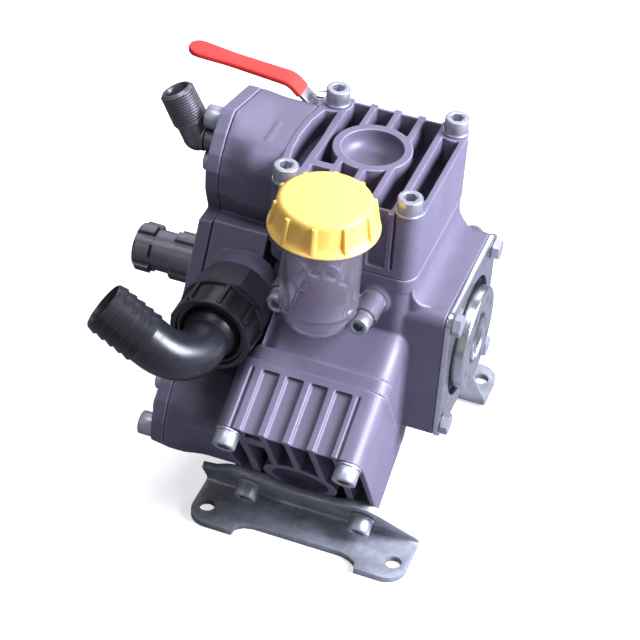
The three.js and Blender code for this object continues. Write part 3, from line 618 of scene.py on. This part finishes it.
# ---------- fasteners ----------
def socket_screw(size, length, grip=0.0, washer=1.5):
    """Stands on Z = 0 with its shank below; the washer lies under its head."""
    seat, r, s, key = grip + washer, size * 0.8, size / 2, size * 0.47
    top = seat + size
    profile = [(0, -length), (s - 1, -length), (s, 1 - length), (s, grip), (r + 0.5, grip),
               (r + 0.6, grip + 0.2), (r + 0.6, seat - 0.25), (r + 0.4, seat), (r - 0.15, seat),
               (r - 0.15, seat + 0.25), (r, seat + 0.5), (r, top - 0.8), (r - 0.25, top - 0.3),
               (r - 0.8, top), (key + 0.5, top), (key, top - 0.4), (0, top - 0.4)]
    if washer < 1:
        profile = [p for p in profile if not (p[0] > r + 0.1)]
        profile.insert(4, (r - 0.15, grip))
    body = turned(profile, "z", 48)
    socket = prism(regular(6, size * 0.8), top - size * 0.62, top + 1)
    drill = turned([(0, top - size * 0.8), (size * 0.38, top - size * 0.6), (size * 0.38, top - size * 0.5),
                    (0, top - size * 0.5)], "z", 24)
    return cut(body, join(socket, drill))


head_screw = socket_screw(10, HEAD_TOP - 66)
foot_screw = socket_screw(10, HEAD_TOP - 66, PLATE + 0.3)
for station in STATIONS:
    for i, (a, b) in enumerate(((-1, 1), (1, 1), (-1, -1), (1, -1))):
        clamps_foot = station == "front" and b < 0 or station == "rear" and b > 0
        screw = rotate(copy(foot_screw if clamps_foot else head_screw), 17 + 31 * i, "Z")
        move(screw, a * BOLT_X, b * BOLT_V, HEAD_TOP + 0.3)
        piece(screw, f"head_screw_{station}_{i + 1}", f"head_bolt_{station}_{i + 1}", ZINC, station=station)

cover_screw = socket_screw(10, 15.5, 0.0, 0.2)
cup_screw = socket_screw(8, 24)
for station in STATIONS:
    for i, w in enumerate(PORT_SCREWS):
        screw = rotate(rotate(copy(cover_screw), 11 + 40 * i, "Z"), -90, "Y")
        move(screw, COVER_FACE - 0.3, 0, w)
        node = f"cover_screw_{station}_{i + 1}"
        piece(screw, f"{node}_detailed", node, ZINC, station=station)
for i, side in enumerate((-1, 1)):
    screw = rotate(rotate(copy(cup_screw), 25 + 20 * i, "Z"), 90, "X")
    sleeve = ring(4.4, 6.7, -56.5, -76.1, "y")
    move(screw, CUP_X + side * LUG_X, -76.3, LUG_Z)
    move(sleeve, CUP_X + side * LUG_X, 0, LUG_Z)
    piece(screw, f"cup_screw_{i + 1}_detailed", f"cup_screw_{i + 1}", ZINC)
    piece(sleeve, f"cup_screw_sleeve_{i + 1}", None, ZINC, sharp=30)
for screw in (head_screw, foot_screw, cover_screw, cup_screw):
    bpy.data.objects.remove(screw)


def hex_head(flats, low, high, axis, chamfer=1.0):
    """A hexagon whose corners are turned down to a cone at the top."""
    r = flats / 2 / math.cos(math.pi / 6) + 1
    cone = turned([(0, low - 1), (r, low - 1), (r, high - chamfer), (flats / 2 - 0.2, high), (0, high)])
    return turn(boolean(prism(regular(6, flats), low, high), [cone], "INTERSECT"), AXES[axis])


def flange_bolt():
    face = 76.9
    body = hex_head(13, face + 0.6, face + 5.3, "x")
    return join(body, rod(6.4, face, face + 0.7, "x", 48), rod(4, 58, face + 1, "x", 32))


for i, (v, w) in enumerate(FLANGE_BOLTS, 1):
    bolt = move(rotate(flange_bolt(), 13 * i, "X"), 0, v, w)
    piece(bolt, f"flange_bolt_{i}_detailed", f"flange_bolt_{i}", ZINC)


# ---------- motor flange and drive ----------
def flange_plate():
    half = FLANGE_HALF + 0.3
    body = prism(rounded(-half, -half, half, half, 9, 12), FLANGE_END + 0.3, 76.6, "x")
    tools = [rod(41.5, 70, 80, "x", 128)]
    tools += [move(rod(4.6, 70, 80, "x", 32), 0, v, w) for v, w in FLANGE_BOLTS]
    return bevel(cut(body, *tools), 0.35)


def drive_hub():
    body = turned([(17.8, 58), (30, 58), (34.5, 61), (35.5, 62.5), (35.5, 83.1), (34.6, 84.1), (19, 84.1),
                   (17.8, 82.9)], "x", 128)
    tools = [prism([(-4, 15), (4, 15), (4, 22), (-4, 22)], 70, 86, "x")]
    for a in [math.radians(45 + 90 * i + off) for i in range(4) for off in (-16, 16)]:
        hole = turned([(0, 71), (2.6, 72), (2.6, 86), (0, 86)], "x", 32)
        tools.append(move(hole, 0, 27 * math.cos(a), 27 * math.sin(a)))
    return bevel(cut(body, *tools), 0.3, 2, 40)


def crankshaft():
    outline = []
    for i in range(6):
        a = 60 * i + 30
        outline += arc(0, 0, 17.45, a - 15, a + 15, 6)
        outline += arc(0, 0, 14.7, a + 17.4, a + 42.6, 6)
    spline = prism(outline, -162, -86, "x")
    cone = turned([(0, -162), (14.9, -162), (18.2, -158.8), (18.2, -80), (0, -80)], "x", 96)
    boolean(spline, [cone], "INTERSECT")
    groove = turned([(14.4, -148.5), (19, -149.5), (19, -133.5), (14.4, -134.5)], "x", 96)
    cut(spline, groove)
    bevel(spline, 0.35, 2, 28)
    journal = turned([(0, -87), (16.8, -87), (17.2, -86.6), (17.2, -36), (21, -36), (21, -16), (0, -16)],
                     "x", 96)
    eccentric = move(rod(24, -16, 16, "x", 96), 0, 0, -6)
    drive = turned([(0, 16), (21, 16), (21, 29), (19.7, 29), (19.7, 45), (17.4, 45), (17.4, 79),
                    (16, 80.2), (4, 80.2), (2.4, 77.5), (0, 76.5)], "x", 96)
    return join(spline, journal, eccentric, drive)


piece(flange_plate(), "flange_plate_machined", "flange_plate", BRIGHT)
piece(drive_hub(), "drive_hub_machined", "drive_hub", BRIGHT, "shaft")
piece(crankshaft(), "splined_shaft", "crankshaft", DARK, "shaft")


def bearing(inner, outer, low, high):
    """Two races with a row of shield grooves between them."""
    race, groove, c = (outer - inner) * 0.28, 0.7, 0.5
    a, b = inner + race, outer - race
    return turned([(inner, low + c), (inner + c, low), (a, low), (a, low + groove), (b, low + groove),
                   (b, low), (outer - c, low), (outer, low + c), (outer, high - c), (outer - c, high),
                   (b, high), (b, high - groove), (a, high - groove), (a, high), (inner + c, high),
                   (inner, high - c)], "x", 96)


eccentric_ring = move(bearing(24.8, 34, -14, 14), 0, 0, -6)
piece(eccentric_ring, "eccentric_ring", "eccentric_bearing", BEARING, "shaft")
piece(bearing(17.9, 31, -49, -37), "bearing_rear", "main_bearing_rear", BEARING)
piece(bearing(20.5, 40, 30, 45), "bearing_front", "main_bearing_front", BEARING)
piece(ring(17.9, 26, -54.7, -49.4, "x"), "seal_rear", "shaft_seal_rear", RUBBER)
piece(ring(18.1, 41.2, 46.4, 54, "x"), "seal_front", "shaft_seal_front", RUBBER)
SKIRT_W = 40.6
for station in STATIONS:
    piston = turned([(0, SKIRT_W), (16, SKIRT_W), (27, SKIRT_W + 2.6), (27.7, SKIRT_W + 3.4),
                     (27.7, SKIRT_W + 14.6), (27.2, SKIRT_W + 15.2), (14, SKIRT_W + 16.8),
                     (12, SKIRT_W + 18.5), (12, 66), (13, 67.4), (20.4, 68), (21, 68.6), (21, 71.4),
                     (20.4, 72), (5, 72), (4, 70.6), (0, 70.6)], "z", 80)
    node = f"piston_{station}"
    piece(piston, f"piston_turned_{station}", node, BEARING, node, station)
    profile = [(22, 71.1), (29, 71.1)] + arc(34, 71.1, 4.6, 165, 15, 10, 1.6)
    profile += [(39, 71.1), (44.8, 70.5), (44.8, 74.1), (39, 74.1)]
    profile += arc(34, 73.7, 4.6, 15, 165, 10, 1.7) + [(29, 73.7), (22, 73.7)]
    diaphragm = turned(profile, "z", 80)
    piece(diaphragm, f"diaphragm_moulded_{station}", f"diaphragm_{station}", RUBBER, station=station)


# ---------- swept tubes ----------
def elbow_path(start, corner, end, bend, steps=14):
    """A line from start to end whose corner is a round arc, which begins a bend's length from it."""
    a, c, b = Vector(start), Vector(corner), Vector(end)
    u, v = (a - c).normalized(), (b - c).normalized()
    centre = c + (u + v).normalized() * (bend / math.cos(u.angle(v) / 2))
    from_p, from_q = c + u * bend - centre, c + v * bend - centre
    total = from_p.angle(from_q)
    axis = from_p.cross(from_q).normalized()
    return [a] + [centre + Matrix.Rotation(total * i / steps, 3, axis) @ from_p
                  for i in range(steps + 1)] + [b]


def tube(points, radius, sides=48):
    """A closed tube with flat ends along a list of points; radius may be a list, one for each point."""
    radii = radius if isinstance(radius, list) else [radius] * len(points)
    tangents = [(after - before).normalized()
                for before, after in zip(points[:1] + points, points[1:] + points[-1:])]
    side = tangents[0].orthogonal().normalized()
    verts = []
    for point, tangent, r in zip(points, tangents, radii):
        side = (side - tangent * side.dot(tangent)).normalized()
        other = tangent.cross(side)
        for k in range(sides):
            a = 2 * math.pi * k / sides
            verts.append(point + (side * math.cos(a) + other * math.sin(a)) * r)
    return stacked(verts, sides)


# ---------- outlet elbow and plugs ----------
def outlet_elbow():
    corner_x, tilt, length = -119.8, 62, 35
    body = join(sphere(10.6), turned([(0, 0), (8.0, 0), (8.0, 24.8), (0, 24.8)], "x", 64),
                turned([(0, 0.0), (9.6, 0), (9.6, 6.4), (0, 6.4)], "x", 64))

    def aim(obj):
        return rotate(obj, 180 + tilt, "Y")

    pitch, crest, root = 1.8, 11.9, 10.9
    profile = [(0, 1), (10.4, 1), (10.4, 10.5), (11.2, 11.2)]
    n = int((length - 12.5) / pitch)
    for i in range(n):
        h = 12.2 + i * pitch
        taper = 0.35 * i / n
        profile += [(root - taper, h), (crest - taper, h + 0.75), (crest - taper, h + 1.05)]
    profile += [(root - 0.4, length - 1), (root - 1.2, length), (0, length)]
    body = join(body, aim(turned(profile, "x", 72)))
    bore = turned([(0, 0), (7.6, 0), (7.6, length - 1.4), (9.0, length + 1), (0, length + 1)], "x", 48)
    inner = join(sphere(7.0), rod(5.3, 0, 26, "x", 32), aim(bore))
    return move(cut(body, inner), corner_x, 0, PORT_W)


def port_plug():
    body = turn(hex_head(13, 0, 5.5, "z"), Matrix.Rotation(-math.pi / 2, 4, "Y"))
    move(body, COVER_FACE - 0.4)
    return join(body, rod(7.6, COVER_FACE - 1.6, COVER_FACE + 8, "x", 48))


piece(outlet_elbow(), "outlet_elbow_threaded", "outlet_elbow", DARK)
for station in ("front", "rear"):
    node = f"port_plug_{station}"
    piece(move(port_plug(), 0, 0, PORT_W), f"{node}_detailed", node, ZINC, station=station)


# ---------- suction inlet ----------
def inlet_adapter():
    rear = BOSS_END - 0.3
    body = prism(regular(8, 50.5), NUT_REAR + 0.9, -61, "y")
    cone = turned([(0, NUT_REAR + 0.5), (25.4, NUT_REAR + 0.5), (27.6, NUT_REAR + 2.5), (27.6, -63.5),
                   (25.6, -61), (0, -61)], "y", 96)
    boolean(body, [cone], "INTERSECT")
    cut(body, rod(24.1, rear, -50, "y", 64))
    bevel(body, 0.6, 2, 25)
    join(body, rod(19.6, rear - 1, -45, "y", 64), rod(21.6, -97, NUT_REAR + 2, "y", 80))
    return move(cut(body, rod(15, -100, -40, "y", 64)), INLET_X, 0, INLET_Z)


def union_nut():
    rear, front = NUT_REAR, NUT_FRONT
    body = turned([(22, rear), (27.9, rear), (28.5, rear - 0.6), (28.5, rear - 2.6), (27.9, rear - 3.2),
                   (26.5, rear - 3.6), (25.9, -103.2), (26.6, -103.8), (27, -104.4), (27, front + 0.8),
                   (26.2, front), (23.4, front), (22.9, front + 0.6), (22.6, front + 1.8),
                   (21.0, front + 2.2), (20.5, front + 2.8), (20.5, -103.2), (22, -102.8)], "y", 112)
    ribs = []
    for i in range(8):
        rib = box(-1.6, -104.6, 24.5, 1.6, rear - 1.2, 28.2)
        ribs.append(rotate(bevel(rib, 0.9, 3), 45 * i + 10, "Y"))
    return move(join(body, *ribs), INLET_X, 0, INLET_Z)


def inlet_elbow():
    length, bend = 66.0, 27.0
    corner = Vector((0, -144, 0))
    along = Vector((-0.799, -0.094, 0.596)).normalized()
    path = elbow_path((0, -98, 0), corner, corner + along * (bend + 2), bend - 0.5)
    radii = [15.6 + 0.4 * i / (len(path) - 1) for i in range(len(path))]
    body = tube(path, radii, 72)

    def aim(obj):
        turned_to = Vector((1, 0, 0)).rotation_difference(along).to_matrix().to_4x4()
        return turn(obj, Matrix.Translation(corner) @ turned_to)

    profile = [(0, bend - 1), (16, bend - 1), (16, 31.6)]
    for i in range(5):
        h = length - 32.8 + i * 6.6
        profile += [(16.0, h - 0.4), (17.0, h - 0.1), (17.3, h + 0.4), (17.2, h + 1.1), (16.2, h + 5.6)]
    profile += [(15.9, length - 0.8), (15.3, length), (0, length)]
    body = join(body, aim(turned(profile, "x", 80)))
    collar = [(0, -102.5), (20.6, -102.5), (21.3, -101.8), (21.3, -98.2), (20.8, -97.6), (0, -97.6)]
    flare = [(0, -112), (15.9, -112), (16.6, -108), (18.4, -104.4), (20, -102.4), (0, -102.4)]
    join(body, turned(collar, "y", 80), turned(flare, "y", 80))
    far = elbow_path((0, -90, 0), corner, corner + along * (bend + 3), bend - 0.5)
    bore = [(0, bend), (12.9, bend), (13.4, length - 4), (15.0, length + 0.5), (0, length + 0.5)]
    cut(body, tube(far, 12.9, 64), aim(turned(bore, "x", 64)))
    return move(body, INLET_X, 0, INLET_Z)


piece(inlet_adapter(), "inlet_adapter_octagon", "inlet_adapter", ADAPTER, sharp=30)
piece(union_nut(), "union_nut_ribbed", "union_nut", BLACK, "union_nut", sharp=30)
piece(inlet_elbow(), "inlet_elbow_barbed", "inlet_elbow", BLACK, "inlet_elbow", sharp=30)


# ---------- oil cup ----------
def oil_cup():
    bottom, rim, r, wall, round_r = 45.0, 136.0, 25.0, 2.0, 19.0

    def shell(offset, top, bead):
        floor = bottom + offset
        return ([(0, floor), (r - round_r, floor)]
                + arc(r - round_r, bottom + round_r, round_r - offset, -80, 0, 8)
                + bead + [(r - offset, top), (0, top)])

    bead = [(r, 66.2), (r + 0.25, 66.6), (r + 0.25, 67.6), (r, 68.0)]
    body = turned(shell(0, rim, bead), "z", 96)
    parts = []
    for side in (-1, 1):
        parts.append(move(rod(8.6, 7, 26.7, "y", 48), side * LUG_X, 0, LUG_Z))
        web = box(min(0, side * LUG_X), 11, LUG_Z - 3, max(0, side * LUG_X), 26.5, LUG_Z + 3)
        parts.append(bevel(web, 1.2, 3))
    parts.append(move(rod(9, 10, 26.7, "y", 48), 0, 0, CUP_PORT_Z))
    join(body, *parts)
    inner = turned(shell(wall, rim + 1, []), "z", 96)
    cut(inner, *[move(rod(9.8, -12, 33, "y", 48), side * LUG_X, 0, LUG_Z) for side in (-1, 1)])
    tools = [inner, move(rod(5, 0, 40, "y", 32), 0, 0, CUP_PORT_Z)]
    for side in (-1, 1):
        tools.append(move(rod(8.2, -12, 7.0, "y", 48), side * LUG_X, 0, LUG_Z))
        tools.append(move(rod(6.9, 0, 33, "y", 48), side * LUG_X, 0, LUG_Z))
    cut(body, *tools)
    return move(body, CUP_X, CUP_Y)


def oil_cap():
    low, high = 123.3, 144.5
    profile = [(0, high - 3.5), (25.7, high - 3.5), (25.7, low), (34.2, low), (34.9, low + 0.6),
               (34.9, low + 1.4), (34.2, low + 2.2), (32.6, low + 3.2), (31.2, low + 6), (30.0, high - 4.5),
               (29.5, high - 2.6), (28.9, high - 1.4), (27.8, high - 0.5), (26.2, high - 0.1), (0, high)]
    body = turned(profile, "z", 120)
    outline = [(22, -1.9), (34.0, -1.7), (34.6, -1.2), (34.6, 1.2), (34.0, 1.7), (22, 1.9)]
    grips = []
    for i in range(10):
        grip = prism(outline, low + 1.0, high - 2.2)
        for vert in grip.data.vertices:
            if vert.co.z > low + 5 and vert.co.x > 30:
                vert.co.x -= 3.2
        grips.append(rotate(bevel(grip, 0.5, 2), 36 * i - 82, "Z"))
    join(body, *grips)
    cut(body, rod(25.7, 110, high - 3.5, "z", 96))
    return move(body, CUP_X, CUP_Y)


piece(oil_cup(), "oil_cup_clear", "oil_cup", CLEAR, sharp=35)
piece(oil_cap(), "oil_cap_ribbed", "oil_cap", YELLOW, "oil_cap", sharp=32)


# ---------- ball valve and lever ----------
def valve_body():
    body = turned([(0, 38), (9.8, 38), (9.8, 58.5), (13, 58.5), (15.1, 66.2), (15.6, 68), (15.6, 86),
                   (15.1, 87.4), (12, 93.5), (10.0, 94.4), (10.4, 95.4), (10.4, 107), (9.6, 108), (0, 108)],
                  "y", 72)
    a, b = move(hex_head(27, -8, 0, "y"), 0, 66.5), move(hex_head(27, 0, 8, "y"), 0, 87)
    neck = turned([(0, 0), (7.9, 0), (7.9, 12), (7.0, 13), (7.0, 15.0), (6.4, 15.6), (0, 15.6)], "z", 48)
    join(body, a, b, move(neck, 0, VALVE_Y))
    cut(body, rod(7, 30, 120, "y", 48), move(sphere(12.4), 0, VALVE_Y),
        move(rod(4.5, 0, 25, "z", 32), 0, VALVE_Y))
    return move(body, VALVE_X, 0, VALVE_Z)


def valve_ball():
    body = join(sphere(11.6), rod(4, 8, LEVER_Z + 9.3 - VALVE_Z, "z", 48))
    return move(bevel(cut(body, rod(7, -20, 20, "x", 48)), 0.3, 2, 40), VALVE_X, VALVE_Y, VALVE_Z)


def bent_strip(points, thickness, half_width):
    """A flat strip, bent along (x, z) points, with the width given at each point."""
    verts = []
    for i, (x, z) in enumerate(points):
        x0, z0 = points[max(i - 1, 0)]
        x1, z1 = points[min(i + 1, len(points) - 1)]
        n = Vector((-(z1 - z0), 0, x1 - x0)).normalized()
        if n.z < 0:
            n.negate()
        left, right = Vector((x, -half_width[i], z)), Vector((x, half_width[i], z))
        verts += [left, right, right + n * thickness, left + n * thickness]
    return stacked(verts, 4)


def smooth_bends(points, r, steps=6):
    """Replaces each inner corner of an (x, z) line with a short arc."""
    out = [points[0]]
    for before, here, after in zip(points, points[1:], points[2:]):
        a, c, b = (Vector(p) for p in (before, here, after))
        u, v = (a - c).normalized(), (b - c).normalized()
        out += [tuple(p) for p in curve(c + u * r, c, c + v * r, steps)]
    return out + [points[-1]]


LEVER_LINE = [(0, 0), (-6.2, 0), (-22, 14), (-95.5, 20.3)]


def lever():
    line = smooth_bends(LEVER_LINE, 4)
    body = bent_strip(line, 2.3, [6.5] * (len(line) - 1) + [5.2])
    join(body, rod(9, 0, 2.35, "z", 64))
    cut(body, rod(4.4, -5, 12, "z", 32))
    return move(bevel(body, 0.3, 2, 40), VALVE_X, VALVE_Y, LEVER_Z)


def lever_grip():
    line = smooth_bends([(-14.5, 5.6), (-22, 12.6), (-97.0, 19.0)], 4)
    widths = [7.4] * (len(line) - 1)
    bend, tip = line[-2:]
    # the sleeve narrows to a waist and widens again to a paddle
    paddle = [(0.25, 7.1), (0.48, 6.8), (0.60, 6.9), (0.72, 7.6), (0.84, 8.2), (1.0, 8.0)]
    line[-1:] = [(bend[0] + (tip[0] - bend[0]) * t, bend[1] + (tip[1] - bend[1]) * t) for t, _ in paddle]
    body = bent_strip(line, 4.6, widths + [w for _, w in paddle])
    # a round end in plan
    stop = prism(arc(tip[0] + 8.2, 0, 8.2, 90, 270, 16) + [(0, -8.2), (0, 8.2)], 0, 40)
    boolean(body, [stop], "INTERSECT")
    bevel(body, 1.4, 4, 30)
    inside = smooth_bends([(-9, 1.6), (-22, 13.6), (-95.8, 19.9)], 4)
    hollow = bent_strip(inside, 3.1, [6.8] * (len(inside) - 1) + [5.5])
    return move(cut(body, hollow), VALVE_X, VALVE_Y, LEVER_Z)


piece(valve_body(), "ball_valve_body", "valve_body", BRIGHT)
piece(valve_ball(), "ball_valve_ball", "valve_ball", CHROME, "valve_lever")
piece(lever(), "lever_bent", "valve_lever", ZINC, "valve_lever", sharp=50)
piece(lever_grip(), "lever_sleeve", "lever_grip", RED, "valve_lever", sharp=50)
nut = cut(hex_head(10, 2.7, 8, "z", 0.6), rod(4.4, 0, 20, "z", 32))
piece(move(nut, VALVE_X, VALVE_Y, LEVER_Z), "lever_nut_detailed", "lever_nut", ZINC, "valve_lever")


# ---------- floor brackets ----------
def foot(mirror):
    """Bent plate: the leg lies on the head's face, the other flange stands on the floor."""
    t, face = PLATE, HEAD_TOP + 0.3
    c, s = math.sqrt(0.75), 0.5

    def leg(v, w):
        return (-s * v - c * w, c * v - s * w)

    knee = (FLOOR_Z + t + s * (face + t)) / c
    inner_knee = Vector(leg(knee, face + t))
    up = (Vector(leg(0, 0)) - Vector(leg(-1, 0))).normalized()
    r, toe = 5.0, -117.5
    outer = [Vector(leg(-30, face)), Vector(leg(-30, face + t))]
    # the inside of the bend is rounded: approach along the leg, leave along the floor flange
    outer += curve(inner_knee + up * r, inner_knee, inner_knee + Vector((-r, 0)), 6)
    outer += [Vector((toe, FLOOR_Z + t)), Vector((toe, FLOOR_Z))]
    corner, side = Vector((-72.2, FLOOR_Z)), Vector(leg(knee - 1.2, face))
    outer += curve(corner + Vector((-8, 0)), corner * 0.5 + side * 0.5, side + up * 7, 8)
    body = prism([tuple(p) for p in outer], -76, 79, "x")
    # the leg's top edge: high round the two screws, low between them and falling away to the right
    edge = [(-90, -45), (-76, -45), (-66, -42), (-56, -32.5), (-48, -28), (-41, -27), (-34, -28),
            (-26, -32), (-18, -38), (-8, -40.5), (10, -40.5), (22, -36.5), (31, -31), (38, -29),
            (45, -29.5), (53, -34), (79, -66), (90, -72)]
    trim = prism(edge + [(90, 20), (-90, 20)], face - 3, face + t + 3)
    tools = [rotate(trim, 120, "X")]
    # the floor flange: two lobes with the front edge cut back between them
    under, over, r = FLOOR_Z - 1, FLOOR_Z + t + 1, 14
    back = [(-44, -130), (-41, -112), (-36, -108), (-30, -106.5), (34, -106.5), (40, -108.5),
            (45, -112), (49, -130)]
    tools.append(prism(back, under, over))
    for x, sign in ((-76, 1), (79, -1)):
        cx, cy = x + sign * r, toe + r
        shape = ([(x - sign * 2, -130), (x - sign * 2, cy)] + arc(cx, cy, sign * r, 180, 270, 9, r)
                 + [(cx, -130)])
        tools.append(prism(shape, under, over))
    for x in (-66, 69):
        tools.append(move(rod(5.5, under, over, "z", 48), x, -101.5))
    for x in (-BOLT_X, BOLT_X):
        tools.append(rotate(move(rod(M10_HOLE, face - 1, face + t + 1, "z", 48), x, -BOLT_V), 120, "X"))
    cut(body, *tools)
    bevel(body, 0.5, 2, 30)
    if mirror:
        turn(body, Matrix.Scale(-1, 4, (0, 1, 0)))
        body.data.flip_normals()
    return body


piece(foot(False), "bracket_front", "foot_front", ZINC_FOOT, sharp=30)
piece(foot(True), "bracket_rear", "foot_rear", ZINC_FOOT, sharp=30)

# ---------- camera, floor and light ----------
CAMERA_MM = Vector((298.884, -1014.170, 857.634))
CAMERA_BACK = Vector((0.23591, -0.73400, 0.63687))
CAMERA_RIGHT = Vector((0.93582, 0.34822, 0.05468))
camera = bpy.data.objects.new("camera", bpy.data.cameras.new("camera"))
bpy.context.scene.collection.objects.link(camera)
up = CAMERA_BACK.cross(CAMERA_RIGHT).normalized()
right = up.cross(CAMERA_BACK).normalized()
axes = Matrix((right, up, CAMERA_BACK.normalized())).transposed().to_4x4()
camera.matrix_world = Matrix.Translation(TO_FRAME @ CAMERA_MM) @ axes
camera.data.lens, camera.data.sensor_width = 113.42, 36.0
camera.data.clip_start, camera.data.clip_end = 0.05, 30
bpy.context.scene.camera = camera

floor_mesh = bpy.data.meshes.new("floor")
floor_mesh.from_pydata([(-6, -6, 0), (6, -6, 0), (6, 6, 0), (-6, 6, 0)], [], [(0, 1, 2, 3)])
floor = link(floor_mesh, "floor")
floor.location.z = -0.0005


def dim_for(tree, bright, dim, rays):
    """The first shader, with the other in its place for the given kind of ray."""
    path, mix = tree.nodes.new("ShaderNodeLightPath"), tree.nodes.new("ShaderNodeMixShader")
    tree.links.new(path.outputs[rays], mix.inputs["Fac"])
    tree.links.new(bright.outputs[0], mix.inputs[1])
    tree.links.new(dim.outputs[0], mix.inputs[2])
    return mix


pale, tree, sockets = new_material("pale_floor")
ramp(tree, noise(tree, 3), [(0.3, 0.93), (0.7, 0.95)], sockets["Base Color"])
sockets["Roughness"].default_value = 0.9
sockets["Emission Color"].default_value = (1, 1, 1, 1)
sockets["Emission Strength"].default_value = 0.62
# the floor throws little light back on the pump, like a paper sweep lit from behind
dull = tree.nodes.new("ShaderNodeBsdfDiffuse")
dull.inputs["Color"].default_value = (0.22, 0.22, 0.24, 1)
mix = dim_for(tree, dull, tree.nodes["Principled BSDF"], "Is Camera Ray")
tree.links.new(mix.outputs[0], tree.nodes["Material Output"].inputs["Surface"])
pale.cycles.emission_sampling = "NONE"
floor.data.materials.append(pale)


def area_light(name, location, target, size, power):
    light = bpy.data.lights.new(name, "AREA")
    light.energy, light.size, light.color = power, size, (0.81, 0.84, 1.0)
    obj = bpy.data.objects.new(name, light)
    obj.location = location
    obj.visible_transmission = False
    direction = Vector(target) - Vector(location)
    obj.rotation_euler = direction.to_track_quat("-Z", "Y").to_euler()
    bpy.context.scene.collection.objects.link(obj)


area_light("key", (1.20, 0.00, 0.93), (0.03, -0.03, 0.12), 0.7, 74)
area_light("top", (-0.12, -0.16, 1.40), (0, 0, 0.12), 0.6, 8)
area_light("back", (-0.3, 1.1, 1.1), (0, 0, 0.12), 0.9, 6)
area_light("right", (1.5, 0.6, 0.5), (0, 0, 0.12), 0.9, 5)
area_light("front", (-0.9, -1.2, 1.2), (0, 0, 0.12), 0.5, 2)

world = bpy.data.worlds.new("studio")
bpy.context.scene.world = world
world.use_nodes = True
world.cycles.sampling_method = "NONE"
tree = world.node_tree
white = tree.nodes["Background"]
white.inputs["Color"].default_value = (1, 1, 1, 1)
room, gloss = tree.nodes.new("ShaderNodeBackground"), tree.nodes.new("ShaderNodeBackground")
room.inputs["Strength"].default_value = 0.08
# polished faces see a soft sky, paler at the horizon than overhead
coord, height = tree.nodes.new("ShaderNodeTexCoord"), tree.nodes.new("ShaderNodeSeparateXYZ")
tree.links.new(coord.outputs["Generated"], height.inputs[0])
ramp(tree, height.outputs["Z"], [(0.0, 0.50), (0.8, 0.30)], gloss.inputs["Color"])
both = dim_for(tree, dim_for(tree, white, room, "Is Diffuse Ray"), gloss, "Is Glossy Ray")
tree.links.new(both.outputs[0], tree.nodes["World Output"].inputs["Surface"])
bpy.context.scene.view_settings.view_transform = "Standard"
